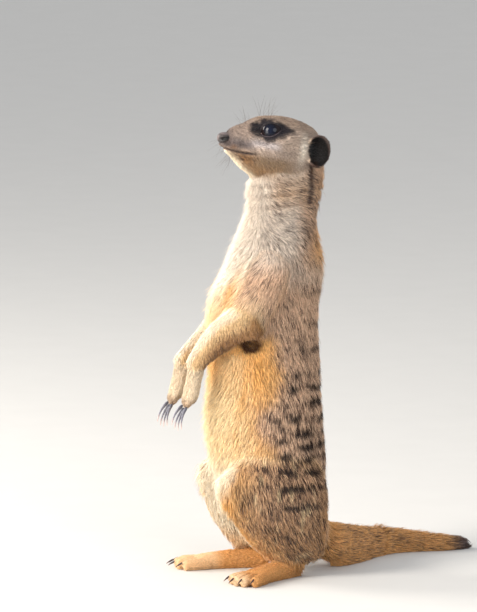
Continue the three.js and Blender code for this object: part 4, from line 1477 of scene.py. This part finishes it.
def nose_form(directions, local):
    """Presses in the comma-shaped nostrils and the groove between them, and lowers the top."""
    ahead, across, up = directions.T
    side = np.abs(across)
    nostril = bump(ahead, 0.45, 0.3) * bump(up, 0.05 - 0.35 * ahead, 0.2) * step(0.2, 0.5, side)
    slit = bump(ahead, 0.0, 0.4) * bump(up, 0.04, 0.12) * step(0.6, 0.8, side)
    groove = np.exp(-((across / 0.07) ** 2)) * step(0.3, -0.3, up) * (ahead > 0)
    local = local * (1 - 0.3 * nostril - 0.1 * slit - 0.12 * groove)[:, None]
    local[:, 2] *= np.where(up > 0, 0.82, 1.0)
    return local


def build_nose():
    """The nose pad, with painted shade in its nostrils, a painted highlight on its top and a paler tip.
    """
    centre = middle("nose") - NOSE_BACK * FORWARD
    piece, directions = ball("nose_pad", centre, (FORWARD, LEFT, UP), NOSE_RADII, nose_material(),
                             "dark_skin", "nose", size=(49, 72), shape=nose_form)
    ahead, across, up = directions.T
    # Painted shade: the nostrils are drawn near black. Painted highlight: the pad's top is drawn lighter,
    # and its tip paler too.
    dark = bump(ahead, 0.15, 0.6) * bump(up, 0.05 - 0.35 * ahead, 0.34) * step(0.15, 0.4, np.abs(across))
    pale = 0.7 + 1.6 * step(0.4, 0.85, up) + 1.3 * step(0.8, 1.0, ahead)
    add_values(piece.data, "Shade", pale * (1 - 0.94 * np.clip(1.5 * dark, 0, 1)))


CLAW_FAN = 5  # degrees from one claw of a hand to the next
FOOT_CLAW_SHARE = 0.78  # how much of a foot's claw stands clear of the fur
HAND_CLAW_SHRUNK, FOOT_CLAW_SHRUNK = 0.22, 0.1  # how far a claw's surface lies inside its node's


def build_claw(node):
    """A smooth copy of a claw, with a field that runs from its root to its tip."""
    limb, side, number = node.replace("_claw", "").rsplit("_", 2)
    on_hand = limb == "hand"
    mesh = mesh_of(node, solid_copy(node, -HAND_CLAW_SHRUNK if on_hand else -FOOT_CLAW_SHRUNK))
    piece = add_object(node.replace("claw", "horn"), mesh)
    round_off = piece.modifiers.new("round", "SUBSURF")
    round_off.levels = round_off.render_levels = 2
    applied(piece)
    points = Surface(piece.data).points
    away = np.linalg.norm(points - middle(f"{limb}_{side}"), axis=1)
    add_values(piece.data, "Along", (away - away.min()) / (away.max() - away.min()))
    root = points[away < away.min() + 3].mean(0)
    if on_hand:
        turn = Matrix.Rotation(math.radians(CLAW_FAN * (int(number) - 2.5)), 3, "X")
        points = root + (points - root) @ np.array(turn).T
    else:
        points = root + (points - root) * FOOT_CLAW_SHARE
    move_to(piece.data, points)
    dress(piece, claw_material() if on_hand else foot_claw_material(), "claw", node)


# ---------------- the studio

AZIMUTH, ELEVATION = math.radians(75), math.radians(8)
DISTANCE = 6.0
AIM = Vector((-0.01147, -0.06045, 0.17544))
VIEW_HEIGHT = 0.4009  # what the picture's height spans at the aim
SENSOR = 36.0
LIT_POINT = Vector((0, -0.04, 0.16))  # what the lights point at
FLOOR_HALF = 6


def add_camera():
    camera = bpy.data.cameras.new("camera")
    camera.sensor_width = SENSOR
    camera.lens = SENSOR * DISTANCE / VIEW_HEIGHT
    camera.clip_end = 100
    obj = add_object("camera", camera)
    level = math.cos(ELEVATION)
    back = Vector((math.sin(AZIMUTH) * level, -math.cos(AZIMUTH) * level, math.sin(ELEVATION)))
    obj.location = AIM + back * DISTANCE
    obj.rotation_euler = (-back).to_track_quat("-Z", "Y").to_euler()
    bpy.context.scene.camera = obj


def add_light(name, place, size, power, colour):
    """A round soft light."""
    light = bpy.data.lights.new(name, "AREA")
    light.shape = "DISK"
    light.size = size
    light.energy = power
    light.color = colour
    obj = add_object(name, light)
    obj.location = place
    obj.rotation_euler = (LIT_POINT - Vector(place)).to_track_quat("-Z", "Y").to_euler()


def add_studio():
    """Soft light from all round, four soft lights and a plain pale floor."""
    world = bpy.data.worlds.new("studio")
    bpy.context.scene.world = world
    world.use_nodes = True
    sky = world.node_tree.nodes["Background"].inputs
    sky["Color"].default_value = (0.93, 0.96, 1.0, 1)
    sky["Strength"].default_value = 0.75
    add_light("key", (0.5, -1.6, 0.95), 0.8, 36, (1.0, 0.95, 0.88))
    add_light("fill", (1.7, 0.2, 0.9), 1.1, 13, (0.95, 0.97, 1.0))
    add_light("rim", (-0.8, -1.2, 0.7), 0.7, 20, (1.0, 0.96, 0.9))
    add_light("low", (0.5, -1.5, 0.25), 0.8, 14, (1.0, 0.95, 0.88))
    bpy.context.scene.view_settings.view_transform = "Standard"
    floor = bpy.data.meshes.new("floor")
    corners = [(x * FLOOR_HALF, y * FLOOR_HALF, 0) for x, y in ((-1, -1), (1, -1), (1, 1), (-1, 1))]
    floor.from_pydata(corners, [], [(0, 1, 2, 3)])
    floor.materials.append(floor_material())
    add_object("floor", floor)


# ---------------- putting it together

def unwrap(obj):
    """An unwrap of the skin's own shape, as each triangle's three corners."""
    bpy.context.view_layer.objects.active = obj
    obj.select_set(True)
    obj.data.uv_layers.new(name="OFBake")
    bpy.ops.object.mode_set(mode="EDIT")
    bpy.ops.mesh.select_all(action="SELECT")
    bpy.ops.uv.smart_project(angle_limit=math.radians(66), island_margin=0.002)
    bpy.ops.object.mode_set(mode="OBJECT")
    obj.select_set(False)
    mesh = obj.data
    uv = rows_of(mesh.uv_layers["OFBake"].data, "uv", 2, np.float32)
    mesh.calc_loop_triangles()
    return uv[rows_of(mesh.loop_triangles, "loops", 3, np.int32)]


add_camera()
add_studio()

skin, surface, nodes = build_skin()
dress(skin, skin_material(), "fur", *FLESH)
fields = Fields(surface, nodes)
marks = Markings(fields.points, fields.for_markings())
add_colours(skin.data, mix(marks.light, marks.dark, marks.share * 0.8))

roots = grow_coat(fields, unwrap(skin))
build_whiskers(roots)
for side in SIDES:
    build_eye(side)
build_nose()
for node in sorted(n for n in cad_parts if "claw" in n):
    build_claw(node)
